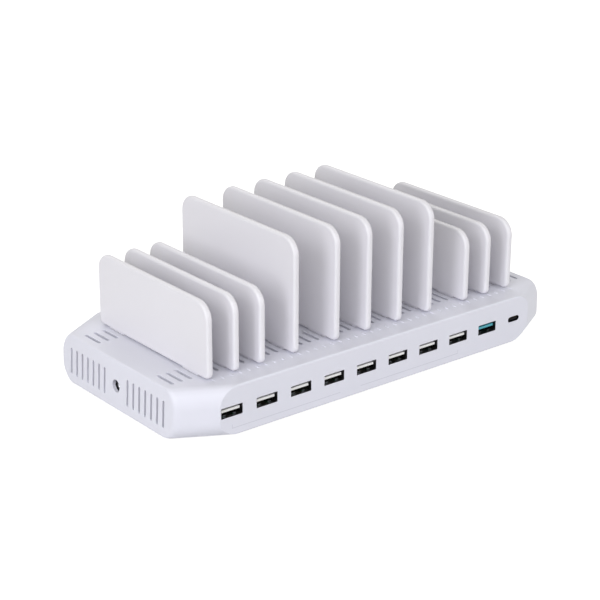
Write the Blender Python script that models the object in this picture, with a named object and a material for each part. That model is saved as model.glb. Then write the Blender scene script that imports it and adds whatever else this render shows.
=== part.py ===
"""Ten-port device charging station with eleven upright divider plates.

Lengths are in metres and +Z is up. X runs along the row of ports, -Y is the port side,
and the origin lies on the table under the middle of the body.
"""
import math

import bmesh
import bpy
from mathutils import Matrix, Vector

MM = 0.001

# Clearances that every piece shares
CLEARANCE = 0.3 * MM
OVERRUN = 1.0 * MM

# Row of ports on the front panel, which sets the length of the body
PORT_PITCH = 22.0 * MM
USB_A_COUNT = 9
FIRST_PORT_INSET = 8.6 * MM
LAST_PORT_INSET = 10.1 * MM
PORT_HEIGHT_ABOVE_BASE = 13.6 * MM
USB_A_OPENING_WIDTH = 13.0 * MM
USB_A_OPENING_HEIGHT = 5.4 * MM
USB_C_OPENING_WIDTH = 8.6 * MM
USB_C_OPENING_HEIGHT = 2.8 * MM
USB_C_SIDE_SHIFT = 1.5 * MM
USB_C_RISE = 0.5 * MM
USB_C_END_STEPS = 5

# Housing: an eight-sided body whose four corner facets swell outwards at mid height.
# The end faces lean out by their draft at the base, and the front panel lies a little to the right.
BODY_DEPTH = 125.0 * MM
BODY_HEIGHT = 27.0 * MM
TABLE_GAP = 1.0 * MM
WALL = 2.0 * MM
PORT_WALL = 1.0 * MM
CORNER_CUT_X = 32.0 * MM
CORNER_CUT_Y = 19.0 * MM
CORNER_SWELL_X = 13.6 * MM
CORNER_SWELL_Y = 9.0 * MM
PANEL_SHIFT = 1.25 * MM
END_DRAFT = 1.4 * MM
TOP_ARC = 10.4 * MM
BOTTOM_ARC = 9.5 * MM
EDGE_ROUND = 1.0 * MM
ARC_STEPS = 5
EDGE_STEPS = 2

# Vent slots in both end faces
VENT_COUNT = 7
VENT_SKIP = 2
VENT_EDGE_MARGIN = 9.9 * MM
VENT_WIDTH = 1.5 * MM
VENT_HEIGHT = 14.6 * MM
VENT_BOTTOM_ABOVE_BASE = 5.2 * MM

# Rows of deck slits that take the tabs of the dividers
SLIT_ROWS = 45
SLIT_END_MARGIN = 6.1 * MM
SLIT_LENGTH = 13.9 * MM
SLIT_WIDTH = 1.8 * MM

# Divider plates; each is placed by its row, counted from the middle row
DIVIDER_ROWS = (-19, -16, -13, -9, -4, 0, 4, 8, 13, 16, 19)
SHORT_AT_EACH_END = 3
DIVIDER_THICKNESS = 3.7 * MM
DIVIDER_EDGE_ROUND = 1.4 * MM
DIVIDER_EDGE_STEPS = 2
SHORT_DIVIDER_RISE = 41.0 * MM
TALL_DIVIDER_RISE = 62.8 * MM
DIVIDER_FRONT_SETBACK = 11.3 * MM
DIVIDER_REAR_SETBACK = 15.05 * MM
DIVIDER_TOP_RADIUS = 9.5 * MM
DIVIDER_BASE_RADIUS = 3.0 * MM
DIVIDER_TOP_STEPS = 5
DIVIDER_BASE_STEPS = 2
DIVIDER_UNDER_GAP = 0.7 * MM
FRONT_TAB_INSET = 8.95 * MM
REAR_TAB_INSET = 9.0 * MM
TAB_DEPTH = 6.0 * MM
TAB_ROOT = 1.3 * MM
TAB_FOOT_SETBACK = 0.5 * MM

# Sheet metal shells and tongues of the sockets
SHELL_SHEET = 0.35 * MM
SHELL_MARGIN = 0.1 * MM
USB_A_SHELL_LENGTH = 14.0 * MM
USB_C_SHELL_LENGTH = 8.6 * MM
TONGUE_RECESS = 0.1 * MM
USB_A_TONGUE_WIDTH = 11.3 * MM
USB_A_TONGUE_THICKNESS = 2.0 * MM
USB_A_TONGUE_DROP = 0.7 * MM
SOCKET_BLOCK_LENGTH = 3.0 * MM
USB_C_TONGUE_WIDTH = 6.6 * MM
USB_C_TONGUE_THICKNESS = 0.7 * MM
USB_C_BASE_LENGTH = 6.0 * MM

# Power inlet in the left end face
JACK_HEIGHT_ABOVE_BASE = 12.9 * MM
JACK_HOLE_RADIUS = 3.3 * MM
JACK_BORE_RADIUS = 3.15 * MM
JACK_BODY_WIDTH = 9.0 * MM
JACK_LENGTH = 14.0 * MM
JACK_BACK_WALL = 3.0 * MM
JACK_WING_REACH = 2.5 * MM
JACK_WING_THICKNESS = 1.0 * MM
JACK_WING_LENGTH = 8.0 * MM
JACK_PIN_RADIUS = 1.05 * MM
JACK_PIN_RECESS = 2.2 * MM
JACK_PIN_TAIL = 1.5 * MM

# Circuit board
BOARD_THICKNESS = 1.6 * MM
BOARD_WALL_GAP = 1.5 * MM
BOARD_REAR_GAP = 20.5 * MM
BOARD_CORNER = 5.0 * MM
BOARD_PRONG_WIDTH = 3.6 * MM

# Screw bosses that hang from the deck, and the screws of the cover
BOSS_RADIUS = 3.5 * MM
BOSS_END_GAP = 8.5 * MM
BOSS_SLIT_GAP = 1.2 * MM
BOSS_BORE_DEPTH = 12.0 * MM
SCREW_RADIUS = 1.2 * MM
COVER_SCREW_HEAD_RADIUS = 2.7 * MM
COVER_SCREW_HEAD_HEIGHT = 1.4 * MM
COVER_SCREW_LENGTH = 10.0 * MM
DRIVE_RADIUS = 1.3 * MM
DRIVE_DEPTH = 0.8 * MM
DRIVE_SIDES = 6

# Bottom cover
COVER_THICKNESS = 2.0 * MM
COVER_RING_RADIUS = 5.0 * MM
COVER_RING_HEIGHT = 1.6 * MM

# Standoffs and screws of the board
STANDOFF_RADIUS = 3.0 * MM
BOARD_SCREW_HEAD_RADIUS = 2.4 * MM
BOARD_SCREW_HEAD_HEIGHT = 1.5 * MM
BOARD_SCREW_BITE = 4.0 * MM
STANDOFF_X_SHARES = (-0.81, 0.81)
STANDOFF_Y_SHARES = (0.18, 0.94)

# Rubber feet
FOOT_RADIUS = 6.0 * MM
FOOT_RECESS = 0.8 * MM
FOOT_X_SHARE = 0.75
FOOT_Y_SHARE = 0.72

# Parts on the board; shares run along the half length and from front to rear of the board
SUPPLY_X_SHARES = (-0.66, -0.22, 0.22, 0.66)
INDUCTOR_SIDE = 10.0 * MM
INDUCTOR_HEIGHT = 5.0 * MM
INDUCTOR_CORNER = 1.6 * MM
INDUCTOR_Y_SHARE = 0.32
CHIP_SIDE = 6.0 * MM
CHIP_HEIGHT = 1.2 * MM
CHIP_Y_SHARE = 0.455
CAPACITOR_RADIUS = 4.0 * MM
CAPACITOR_HEIGHT = 8.5 * MM
CAPACITOR_X_SHARES = (-0.6, 0.6)
CAPACITOR_Y_SHARE = 0.83
SINK_LENGTH_SHARE = 0.42
SINK_DEPTH_SHARE = 0.22
SINK_Y_SHARE = 0.635
SINK_BASE = 2.0 * MM
SINK_HEIGHT = 8.0 * MM
SINK_FINS = 7
SINK_FIN_SHARE = 0.36

ROUND_SIDES = 20
SHARP_ANGLE = math.radians(35)

# Places that follow from the sizes above
usb_c_x_from_first = PORT_PITCH * USB_A_COUNT - USB_C_SIDE_SHIFT
panel_half = (FIRST_PORT_INSET + usb_c_x_from_first + LAST_PORT_INSET) / 2
body_half = panel_half + CORNER_CUT_X - CORNER_SWELL_X
depth_half = BODY_DEPTH / 2
base_z = TABLE_GAP
deck_z = base_z + BODY_HEIGHT
ceiling_z = deck_z - WALL
first_port_x = FIRST_PORT_INSET - panel_half
port_z = base_z + PORT_HEIGHT_ABOVE_BASE
usb_c_x = first_port_x + usb_c_x_from_first
usb_c_z = port_z + USB_C_RISE
shell_front_y = -depth_half + PORT_WALL + CLEARANCE
end_face_half = depth_half - CORNER_CUT_Y + CORNER_SWELL_Y
vent_pitch = (end_face_half - VENT_EDGE_MARGIN) / (VENT_SKIP + VENT_COUNT - 1)

slit_pitch = 2 * (body_half - SLIT_END_MARGIN) / (SLIT_ROWS - 1)
divider_front_y = -depth_half + DIVIDER_FRONT_SETBACK
divider_rear_y = depth_half - DIVIDER_REAR_SETBACK
front_slit_y = divider_front_y + FRONT_TAB_INSET
rear_slit_y = divider_rear_y - REAR_TAB_INSET - SLIT_LENGTH

usb_a_inner_width = USB_A_OPENING_WIDTH + 2 * SHELL_MARGIN
usb_a_inner_height = USB_A_OPENING_HEIGHT + 2 * SHELL_MARGIN
usb_a_outer_width = usb_a_inner_width + 2 * SHELL_SHEET
usb_a_outer_height = usb_a_inner_height + 2 * SHELL_SHEET
usb_c_inner_width = USB_C_OPENING_WIDTH + 2 * SHELL_MARGIN
usb_c_inner_height = USB_C_OPENING_HEIGHT + 2 * SHELL_MARGIN
usb_c_outer_width = usb_c_inner_width + 2 * SHELL_SHEET
usb_c_outer_height = usb_c_inner_height + 2 * SHELL_SHEET
tongue_tip_y = shell_front_y + TONGUE_RECESS
shell_back_y = shell_front_y + USB_A_SHELL_LENGTH

board_top = port_z - usb_a_outer_height / 2 - CLEARANCE
board_bottom = board_top - BOARD_THICKNESS
mount_z = board_top + CLEARANCE
boss_x = body_half - WALL - BOSS_END_GAP - BOSS_RADIUS / 2
boss_front_y = front_slit_y + SLIT_LENGTH + BOSS_SLIT_GAP + BOSS_RADIUS
boss_rear_y = rear_slit_y - BOSS_SLIT_GAP - BOSS_RADIUS
screw_bore = SCREW_RADIUS + CLEARANCE
board_half = boss_x - BOSS_RADIUS - BOARD_WALL_GAP
board_front_y = -depth_half + WALL + BOARD_WALL_GAP
board_rear_y = depth_half - WALL - BOARD_REAR_GAP
board_depth = board_rear_y - board_front_y

cover_top = base_z + COVER_THICKNESS
cover_ring_top = cover_top + COVER_RING_HEIGHT
boss_bottom = cover_ring_top + CLEARANCE
cover_head_bottom = base_z + CLEARANCE
cover_head_top = cover_head_bottom + COVER_SCREW_HEAD_HEIGHT
cover_counterbore_top = cover_head_top + CLEARANCE
standoff_top = board_bottom - CLEARANCE
jack_z = base_z + JACK_HEIGHT_ABOVE_BASE
jack_mouth_x = -body_half + WALL + CLEARANCE
jack_back_x = jack_mouth_x + JACK_LENGTH


def board_place(x_share, y_share):
    """Turn shares of the board into a point on it."""
    return board_half * x_share, board_front_y + board_depth * y_share


boss_places = [(side * boss_x, y) for side in (-1, 1) for y in (boss_front_y, boss_rear_y)]
standoff_places = [board_place(x, y) for y in STANDOFF_Y_SHARES for x in STANDOFF_X_SHARES]
foot_places = [
    (x_side * body_half * FOOT_X_SHARE, y_side * depth_half * FOOT_Y_SHARE)
    for x_side in (-1, 1)
    for y_side in (-1, 1)
]


# Scene and material helpers


def clear_scene():
    """Remove every object that is already there."""
    for obj in list(bpy.data.objects):
        bpy.data.objects.remove(obj, do_unlink=True)


def material(name, colour, roughness, metallic=0.0):
    """Make a Principled material."""
    mat = bpy.data.materials.new(name)
    mat.use_nodes = True
    shader = mat.node_tree.nodes["Principled BSDF"]
    shader.inputs["Base Color"].default_value = (*colour, 1.0)
    shader.inputs["Roughness"].default_value = roughness
    shader.inputs["Metallic"].default_value = metallic
    mat.diffuse_color = (*colour, 1.0)
    return mat


def make_object(name, bm, mat=None, smooth=False):
    """Turn a bmesh of closed shapes into an object with its faces pointing out."""
    bmesh.ops.recalc_face_normals(bm, faces=bm.faces)
    mesh = bpy.data.meshes.new(name)
    bm.to_mesh(mesh)
    bm.free()
    if smooth:
        mesh.shade_smooth()
        mesh.set_sharp_from_angle(angle=SHARP_ANGLE)
    if mat:
        mesh.materials.append(mat)
    obj = bpy.data.objects.new(name, mesh)
    bpy.context.collection.objects.link(obj)
    return obj


def combine(target, operation, bm):
    """Join a shape to an object, or cut it away, with a Boolean modifier."""
    tool = make_object(target.name + "_" + operation.lower(), bm)
    tool.hide_render = True
    tool.display_type = "WIRE"
    step = target.modifiers.new(operation.lower(), "BOOLEAN")
    step.operation = operation
    step.object = tool


# Shape helpers


def add_box(bm, low, high):
    """Add a closed box between its lowest and highest corners."""
    low = Vector(low)
    high = Vector(high)
    place = Matrix.Translation((low + high) / 2) @ Matrix.Diagonal((*(high - low), 1))
    bmesh.ops.create_cube(bm, size=1, matrix=place)


def add_loft(bm, rings):
    """Add a closed body through rings of equally many points, capped at both ends."""
    loops = [[bm.verts.new(point) for point in ring] for ring in rings]
    count = len(loops[0])
    for lower, upper in zip(loops, loops[1:]):
        for i in range(count):
            j = (i + 1) % count
            bm.faces.new((lower[i], lower[j], upper[j], upper[i]))
    bm.faces.new(list(reversed(loops[0])))
    bm.faces.new(loops[-1])


def add_prism(bm, outline, rise):
    """Add a closed prism on an outline of 3D points."""
    rise = Vector(rise)
    add_loft(bm, [outline, [Vector(point) + rise for point in outline]])


def add_tube(bm, outer, inner, run):
    """Add a tube between two loops of equally many points, open at both ends."""
    run = Vector(run)
    far_outer = [Vector(point) + run for point in outer]
    far_inner = [Vector(point) + run for point in inner]
    rings = [outer, far_outer, far_inner, inner]
    loops = [[bm.verts.new(point) for point in ring] for ring in rings]
    count = len(outer)
    for first, second in zip(loops, loops[1:] + loops[:1]):
        for i in range(count):
            j = (i + 1) % count
            bm.faces.new((first[i], first[j], second[j], second[i]))


def circle(centre, radius, axis, sides=ROUND_SIDES):
    """Points of a circle around X, Y or Z."""
    points = []
    for i in range(sides):
        angle = 2 * math.pi * (i + 0.5) / sides
        across = radius * math.cos(angle)
        along = radius * math.sin(angle)
        offset = {"X": (0, across, along), "Y": (across, 0, along), "Z": (across, along, 0)}[axis]
        points.append(Vector(centre) + Vector(offset))
    return points


def add_rod(bm, x, y, low, high, radius, sides=ROUND_SIDES):
    """Add an upright cylinder."""
    add_prism(bm, circle((x, y, low), radius, "Z", sides), (0, 0, high - low))


def rectangle(x, y, z, width, height):
    """Points of an upright rectangle that faces along Y."""
    return [
        (x - width / 2, y, z - height / 2),
        (x + width / 2, y, z - height / 2),
        (x + width / 2, y, z + height / 2),
        (x - width / 2, y, z + height / 2),
    ]


def stadium(x, y, z, width, height):
    """Points of an upright slot with round ends that faces along Y."""
    radius = height / 2
    points = []
    for side in (1, -1):
        for i in range(USB_C_END_STEPS + 1):
            angle = math.pi * (i / USB_C_END_STEPS - 0.5)
            offset = width / 2 - radius + radius * math.cos(angle)
            points.append((x + side * offset, y, z + side * radius * math.sin(angle)))
    return points


def end_face_x(z):
    """How far the drafted end faces stand from the middle of the body at a height."""
    return body_half + END_DRAFT * (1 - (z - base_z) / BODY_HEIGHT)


def octagon(cut_x, cut_y, inset, z):
    """Body outline at one height, with its corners cut and all sides moved in by inset."""
    side_x = end_face_x(z) - inset
    side_y = depth_half - inset
    points = []
    for x_side, y_side in ((1, 1), (-1, 1), (-1, -1), (1, -1)):
        cut = cut_x - x_side * PANEL_SHIFT if y_side < 0 else cut_x
        diagonal = math.hypot(cut, cut_y)
        normal_x = cut_y / diagonal
        normal_y = cut / diagonal
        reach = normal_x * body_half + normal_y * (depth_half - cut_y) - inset
        corner_y = (reach - normal_x * side_x) / normal_y
        corner_x = (reach - normal_y * side_y) / normal_x
        pair = [(x_side * side_x, y_side * corner_y, z), (x_side * corner_x, y_side * side_y, z)]
        points += pair if x_side == y_side else list(reversed(pair))
    return points


def corner_cuts(height):
    """Corner cuts at a height above the base: full at the edges, least in the middle."""
    reach = max(height - (BODY_HEIGHT - TOP_ARC), 0) / TOP_ARC
    if height < BOTTOM_ARC:
        reach = (BOTTOM_ARC - height) / BOTTOM_ARC
    swell = math.sqrt(max(1 - reach * reach, 0))
    return CORNER_CUT_X - CORNER_SWELL_X * swell, CORNER_CUT_Y - CORNER_SWELL_Y * swell


def edge_inset(height):
    """How far the small edge rounding draws the skin in at a height above the base."""
    near = min(height, BODY_HEIGHT - height)
    if near >= EDGE_ROUND:
        return 0.0
    drop = EDGE_ROUND - near
    return EDGE_ROUND - math.sqrt(EDGE_ROUND * EDGE_ROUND - drop * drop)


def arc_heights():
    """Heights above the base at which the corner arcs are stepped."""
    shares = [math.sin(math.pi / 2 * i / ARC_STEPS) for i in range(ARC_STEPS)]
    low = [BOTTOM_ARC * (1 - share) for share in shares]
    high = [BODY_HEIGHT - TOP_ARC * (1 - share) for share in shares]
    return low + high


def edge_heights():
    """Heights above the base at which the small edge rounding is stepped."""
    shares = [1 - math.cos(math.pi / 2 * i / EDGE_STEPS) for i in range(EDGE_STEPS + 1)]
    low = [EDGE_ROUND * share for share in shares]
    return low + [BODY_HEIGHT - height for height in low]


# Housing


def add_housing_shell(bm):
    """Add the skin and the cavity of the housing as one closed body, open below."""
    outer_heights = sorted(set(arc_heights() + edge_heights()))
    inner_heights = [h for h in sorted(arc_heights()) if 0 < h < BODY_HEIGHT - WALL]
    inner_heights = [0.0] + inner_heights + [BODY_HEIGHT - WALL]
    outer = [octagon(*corner_cuts(h), edge_inset(h), base_z + h) for h in outer_heights]
    inner = [octagon(*corner_cuts(h), WALL, base_z + h) for h in inner_heights]
    loops = [[bm.verts.new(point) for point in ring] for ring in list(reversed(outer)) + inner]
    count = len(loops[0])
    for first, second in zip(loops, loops[1:]):
        for i in range(count):
            j = (i + 1) % count
            bm.faces.new((first[i], first[j], second[j], second[i]))
    bm.faces.new(loops[0])
    bm.faces.new(list(reversed(loops[-1])))
    bmesh.ops.triangulate(bm, faces=bm.faces)


def port_places():
    """X and Z of the nine large sockets."""
    return [(first_port_x + PORT_PITCH * i, port_z) for i in range(USB_A_COUNT)]


def add_slit_cutters(bm):
    """Add the cutters of the deck slits, two in each row."""
    for row in range(SLIT_ROWS):
        x = slit_pitch * (row - (SLIT_ROWS - 1) / 2)
        for y in (front_slit_y, rear_slit_y):
            low = (x - SLIT_WIDTH / 2, y, ceiling_z - OVERRUN)
            high = (x + SLIT_WIDTH / 2, y + SLIT_LENGTH, deck_z + OVERRUN)
            add_box(bm, low, high)


def add_vent_cutters(bm):
    """Add the cutters of the vent slots in both end faces."""
    bottom = base_z + VENT_BOTTOM_ABOVE_BASE
    for side in (-1, 1):
        inner = side * (body_half - WALL - OVERRUN)
        outer = side * (body_half + END_DRAFT + OVERRUN)
        for half in (-1, 1):
            for i in range(VENT_COUNT):
                y = half * vent_pitch * (VENT_SKIP + i)
                low = (min(inner, outer), y - VENT_WIDTH / 2, bottom)
                high = (max(inner, outer), y + VENT_WIDTH / 2, bottom + VENT_HEIGHT)
                add_box(bm, low, high)


def add_window_cutters(bm):
    """Add the cutters of the ten port windows, from the front to the port pocket."""
    front = -depth_half - OVERRUN
    run = (0, PORT_WALL + OVERRUN + CLEARANCE, 0)
    for x, z in port_places():
        add_prism(bm, rectangle(x, front, z, USB_A_OPENING_WIDTH, USB_A_OPENING_HEIGHT), run)
    add_prism(bm, stadium(usb_c_x, front, usb_c_z, USB_C_OPENING_WIDTH, USB_C_OPENING_HEIGHT), run)


def top_housing(mat):
    """Deck, walls and screw bosses in one moulding."""
    bm = bmesh.new()
    add_housing_shell(bm)
    housing = make_object("top_housing", bm, mat)

    bosses = bmesh.new()
    for x, y in boss_places:
        add_rod(bosses, x, y, boss_bottom, ceiling_z + WALL / 2, BOSS_RADIUS)
    combine(housing, "UNION", bosses)

    pocket = bmesh.new()
    low_x = first_port_x - usb_a_outer_width / 2 - CLEARANCE
    high_x = usb_c_x + usb_c_outer_width / 2 + CLEARANCE
    half_height = usb_a_outer_height / 2 + CLEARANCE
    low = (low_x, -depth_half + PORT_WALL, port_z - half_height)
    high = (high_x, -depth_half + WALL + OVERRUN, port_z + half_height)
    add_box(pocket, low, high)
    combine(housing, "DIFFERENCE", pocket)

    cutters = bmesh.new()
    add_slit_cutters(cutters)
    add_vent_cutters(cutters)
    add_window_cutters(cutters)
    hole = circle((-body_half - END_DRAFT - OVERRUN, 0, jack_z), JACK_HOLE_RADIUS, "X")
    add_prism(cutters, hole, (END_DRAFT + WALL + 2 * OVERRUN, 0, 0))
    for x, y in boss_places:
        bore_top = boss_bottom + BOSS_BORE_DEPTH
        add_rod(cutters, x, y, boss_bottom - OVERRUN, bore_top, screw_bore)
    combine(housing, "DIFFERENCE", cutters)


# Cover, board, screws and feet


def bottom_cover(mat):
    """Plate with standoffs for the board, screw rings and recesses for the feet."""
    draft_at_top = END_DRAFT * COVER_THICKNESS / BODY_HEIGHT
    outline = octagon(CORNER_CUT_X, CORNER_CUT_Y, WALL + CLEARANCE + draft_at_top, base_z)
    bm = bmesh.new()
    add_prism(bm, outline, (0, 0, COVER_THICKNESS))
    cover = make_object("bottom_cover", bm, mat)

    raised = bmesh.new()
    root = cover_top - COVER_THICKNESS / 2
    for x, y in standoff_places:
        add_rod(raised, x, y, root, standoff_top, STANDOFF_RADIUS)
    for x, y in boss_places:
        add_rod(raised, x, y, root, cover_ring_top, COVER_RING_RADIUS)
    combine(cover, "UNION", raised)

    cutters = bmesh.new()
    for x, y in standoff_places:
        add_rod(cutters, x, y, cover_top, standoff_top + OVERRUN, screw_bore)
    for x, y in boss_places:
        add_rod(cutters, x, y, base_z - OVERRUN, cover_ring_top + OVERRUN, screw_bore)
    for x, y in foot_places:
        add_rod(cutters, x, y, base_z - OVERRUN, base_z + FOOT_RECESS, FOOT_RADIUS + CLEARANCE)
    combine(cover, "DIFFERENCE", cutters)

    counterbores = bmesh.new()
    for x, y in boss_places:
        radius = COVER_SCREW_HEAD_RADIUS + CLEARANCE
        add_rod(counterbores, x, y, base_z - OVERRUN, cover_counterbore_top, radius)
    combine(cover, "DIFFERENCE", counterbores)


def feet(mat):
    """Four round rubber pads."""
    for number, (x, y) in enumerate(foot_places, 1):
        bm = bmesh.new()
        add_rod(bm, x, y, 0, base_z + FOOT_RECESS - CLEARANCE, FOOT_RADIUS)
        make_object("foot_" + str(number), bm, mat, smooth=True)


def main_board(mat):
    """Board with a pronged end that carries the power inlet."""
    prong_tip = jack_mouth_x + BOARD_WALL_GAP
    notch_end = jack_back_x + CLEARANCE
    notch_half = JACK_BODY_WIDTH / 2 + CLEARANCE
    prong_half = notch_half + BOARD_PRONG_WIDTH
    half = [
        (-board_half, prong_half),
        (prong_tip, prong_half),
        (prong_tip, notch_half),
        (notch_end, notch_half),
    ]
    notch = half + [(x, -y) for x, y in reversed(half)]
    rim = [
        (-board_half, board_front_y + BOARD_CORNER),
        (-board_half + BOARD_CORNER, board_front_y),
        (board_half - BOARD_CORNER, board_front_y),
        (board_half, board_front_y + BOARD_CORNER),
        (board_half, board_rear_y - BOARD_CORNER),
        (board_half - BOARD_CORNER, board_rear_y),
        (-board_half + BOARD_CORNER, board_rear_y),
        (-board_half, board_rear_y - BOARD_CORNER),
    ]
    bm = bmesh.new()
    add_prism(bm, [(x, y, board_bottom) for x, y in rim + notch], (0, 0, BOARD_THICKNESS))
    board = make_object("main_board", bm, mat)
    holes = bmesh.new()
    for x, y in standoff_places:
        add_rod(holes, x, y, board_bottom - OVERRUN, board_top + OVERRUN, screw_bore)
    combine(board, "DIFFERENCE", holes)


def add_screw(bm, x, y, head_bottom, head_height, head_radius, shank_end):
    """Add a screw: a low cylinder head on a plain shank, above or below the head."""
    head_top = head_bottom + head_height
    start = head_bottom if shank_end < head_bottom else head_top
    low_head = circle((x, y, head_bottom), head_radius, "Z")
    high_head = circle((x, y, head_top), head_radius, "Z")
    near_shank = circle((x, y, start), SCREW_RADIUS, "Z")
    far_shank = circle((x, y, shank_end), SCREW_RADIUS, "Z")
    if shank_end < head_bottom:
        add_loft(bm, [far_shank, near_shank, low_head, high_head])
    else:
        add_loft(bm, [low_head, high_head, near_shank, far_shank])


def screws(name, places, mat, head_bottom, head_height, head_radius, shank_end):
    """Equal screws, numbered, with a six-sided drive recess in each head."""
    below = shank_end > head_bottom
    face = head_bottom if below else head_bottom + head_height
    low = face - OVERRUN if below else face - DRIVE_DEPTH
    high = face + DRIVE_DEPTH if below else face + OVERRUN
    for number, (x, y) in enumerate(places, 1):
        bm = bmesh.new()
        add_screw(bm, x, y, head_bottom, head_height, head_radius, shank_end)
        screw = make_object(name + "_" + str(number), bm, mat, smooth=True)
        recess = bmesh.new()
        add_rod(recess, x, y, low, high, DRIVE_RADIUS, DRIVE_SIDES)
        combine(screw, "DIFFERENCE", recess)


# Sockets


def usb_a_shell(name, x, z, mat):
    """Sheet metal tube of one large socket."""
    bm = bmesh.new()
    outer = rectangle(x, shell_front_y, z, usb_a_outer_width, usb_a_outer_height)
    inner = rectangle(x, shell_front_y, z, usb_a_inner_width, usb_a_inner_height)
    add_tube(bm, outer, inner, (0, USB_A_SHELL_LENGTH, 0))
    make_object(name, bm, mat)


def tongue_top(z):
    """Height of the upper face of a large socket's tongue."""
    return z + USB_A_OPENING_HEIGHT / 2 - USB_A_TONGUE_DROP


def usb_a_tongue(name, x, z, mat):
    """Tongue with the block that closes the rear of the shell."""
    half_height = usb_a_inner_height / 2 - CLEARANCE
    block_y = shell_back_y - SOCKET_BLOCK_LENGTH
    top = tongue_top(z)
    side = [
        (tongue_tip_y, top),
        (tongue_tip_y, top - USB_A_TONGUE_THICKNESS),
        (block_y, top - USB_A_TONGUE_THICKNESS),
        (block_y, top),
    ]
    bm = bmesh.new()
    half_width = USB_A_TONGUE_WIDTH / 2
    add_prism(bm, [(x - half_width, y, h) for y, h in side], (USB_A_TONGUE_WIDTH, 0, 0))
    tongue = make_object(name, bm, mat)
    block = bmesh.new()
    half_width = usb_a_inner_width / 2 - CLEARANCE
    low = (x - half_width, block_y - CLEARANCE, z - half_height)
    add_box(block, low, (x + half_width, shell_back_y, z + half_height))
    combine(tongue, "UNION", block)


def usb_c_socket(shell_mat, tongue_mat, base_mat):
    """Shell, tongue and carrier of the small socket."""
    bm = bmesh.new()
    outer = stadium(usb_c_x, shell_front_y, usb_c_z, usb_c_outer_width, usb_c_outer_height)
    inner = stadium(usb_c_x, shell_front_y, usb_c_z, usb_c_inner_width, usb_c_inner_height)
    add_tube(bm, outer, inner, (0, USB_C_SHELL_LENGTH, 0))
    make_object("usb_c_shell", bm, shell_mat, smooth=True)

    rear = shell_front_y + USB_C_SHELL_LENGTH
    block_front = rear - SOCKET_BLOCK_LENGTH
    width = usb_c_inner_width - 2 * CLEARANCE
    height = usb_c_inner_height - 2 * CLEARANCE
    bm = bmesh.new()
    block = stadium(usb_c_x, block_front, usb_c_z, width, height)
    add_prism(bm, block, (0, SOCKET_BLOCK_LENGTH, 0))
    tongue = make_object("usb_c_tongue", bm, tongue_mat)
    blade = bmesh.new()
    section = rectangle(usb_c_x, tongue_tip_y, usb_c_z, USB_C_TONGUE_WIDTH, USB_C_TONGUE_THICKNESS)
    add_prism(blade, section, (0, block_front - tongue_tip_y + CLEARANCE, 0))
    combine(tongue, "UNION", blade)

    bm = bmesh.new()
    half_width = (usb_c_outer_width - usb_c_outer_height) / 2
    low = (usb_c_x - half_width, rear - USB_C_BASE_LENGTH, mount_z)
    high = (usb_c_x + half_width, rear, usb_c_z - usb_c_outer_height / 2 - CLEARANCE)
    add_box(bm, low, high)
    make_object("usb_c_base", bm, base_mat)


def dc_jack(body_mat, pin_mat):
    """Power inlet that lies in the notch of the board, held by a wing on each side."""
    half = JACK_BODY_WIDTH / 2
    bm = bmesh.new()
    add_box(bm, (jack_mouth_x, -half, jack_z - half), (jack_back_x, half, jack_z + half))
    jack = make_object("dc_jack", bm, body_mat)
    wings = bmesh.new()
    wing_half = half + JACK_WING_REACH
    low = (jack_back_x - JACK_WING_LENGTH, -wing_half, mount_z)
    high = (jack_back_x - CLEARANCE, wing_half, mount_z + JACK_WING_THICKNESS)
    add_box(wings, low, high)
    combine(jack, "UNION", wings)
    bore = bmesh.new()
    mouth = circle((jack_mouth_x - OVERRUN, 0, jack_z), JACK_BORE_RADIUS, "X")
    add_prism(bore, mouth, (JACK_LENGTH - JACK_BACK_WALL + OVERRUN, 0, 0))
    combine(jack, "DIFFERENCE", bore)
    seat = bmesh.new()
    seat_start = jack_back_x - JACK_BACK_WALL - OVERRUN
    ring = circle((seat_start, 0, jack_z), JACK_PIN_RADIUS + CLEARANCE, "X")
    add_prism(seat, ring, (JACK_BACK_WALL + 2 * OVERRUN, 0, 0))
    combine(jack, "DIFFERENCE", seat)

    tip_x = jack_mouth_x + JACK_PIN_RECESS
    bm = bmesh.new()
    ring = circle((tip_x, 0, jack_z), JACK_PIN_RADIUS, "X")
    add_prism(bm, ring, (jack_back_x + JACK_PIN_TAIL - tip_x, 0, 0))
    make_object("dc_jack_pin", bm, pin_mat, smooth=True)


# Power supply parts


def power_inductors(mat):
    """Moulded inductors with cut corners."""
    half = INDUCTOR_SIDE / 2
    inner = half - INDUCTOR_CORNER
    outline = [(half, -inner), (half, inner), (inner, half), (-inner, half)]
    outline += [(-x, -y) for x, y in outline]
    for number, share in enumerate(SUPPLY_X_SHARES, 1):
        x, y = board_place(share, INDUCTOR_Y_SHARE)
        bm = bmesh.new()
        add_prism(bm, [(x + dx, y + dy, mount_z) for dx, dy in outline], (0, 0, INDUCTOR_HEIGHT))
        make_object("power_inductor_" + str(number), bm, mat)


def control_chips(mat):
    """One square control chip behind each inductor."""
    half = CHIP_SIDE / 2
    for number, share in enumerate(SUPPLY_X_SHARES, 1):
        x, y = board_place(share, CHIP_Y_SHARE)
        bm = bmesh.new()
        add_box(bm, (x - half, y - half, mount_z), (x + half, y + half, mount_z + CHIP_HEIGHT))
        make_object("control_chip_" + str(number), bm, mat)


def filter_capacitors(mat):
    """One round can towards each end of the board."""
    for number, share in enumerate(CAPACITOR_X_SHARES, 1):
        x, y = board_place(share, CAPACITOR_Y_SHARE)
        bm = bmesh.new()
        add_rod(bm, x, y, mount_z, mount_z + CAPACITOR_HEIGHT, CAPACITOR_RADIUS)
        make_object("filter_capacitor_" + str(number), bm, mat, smooth=True)


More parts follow.
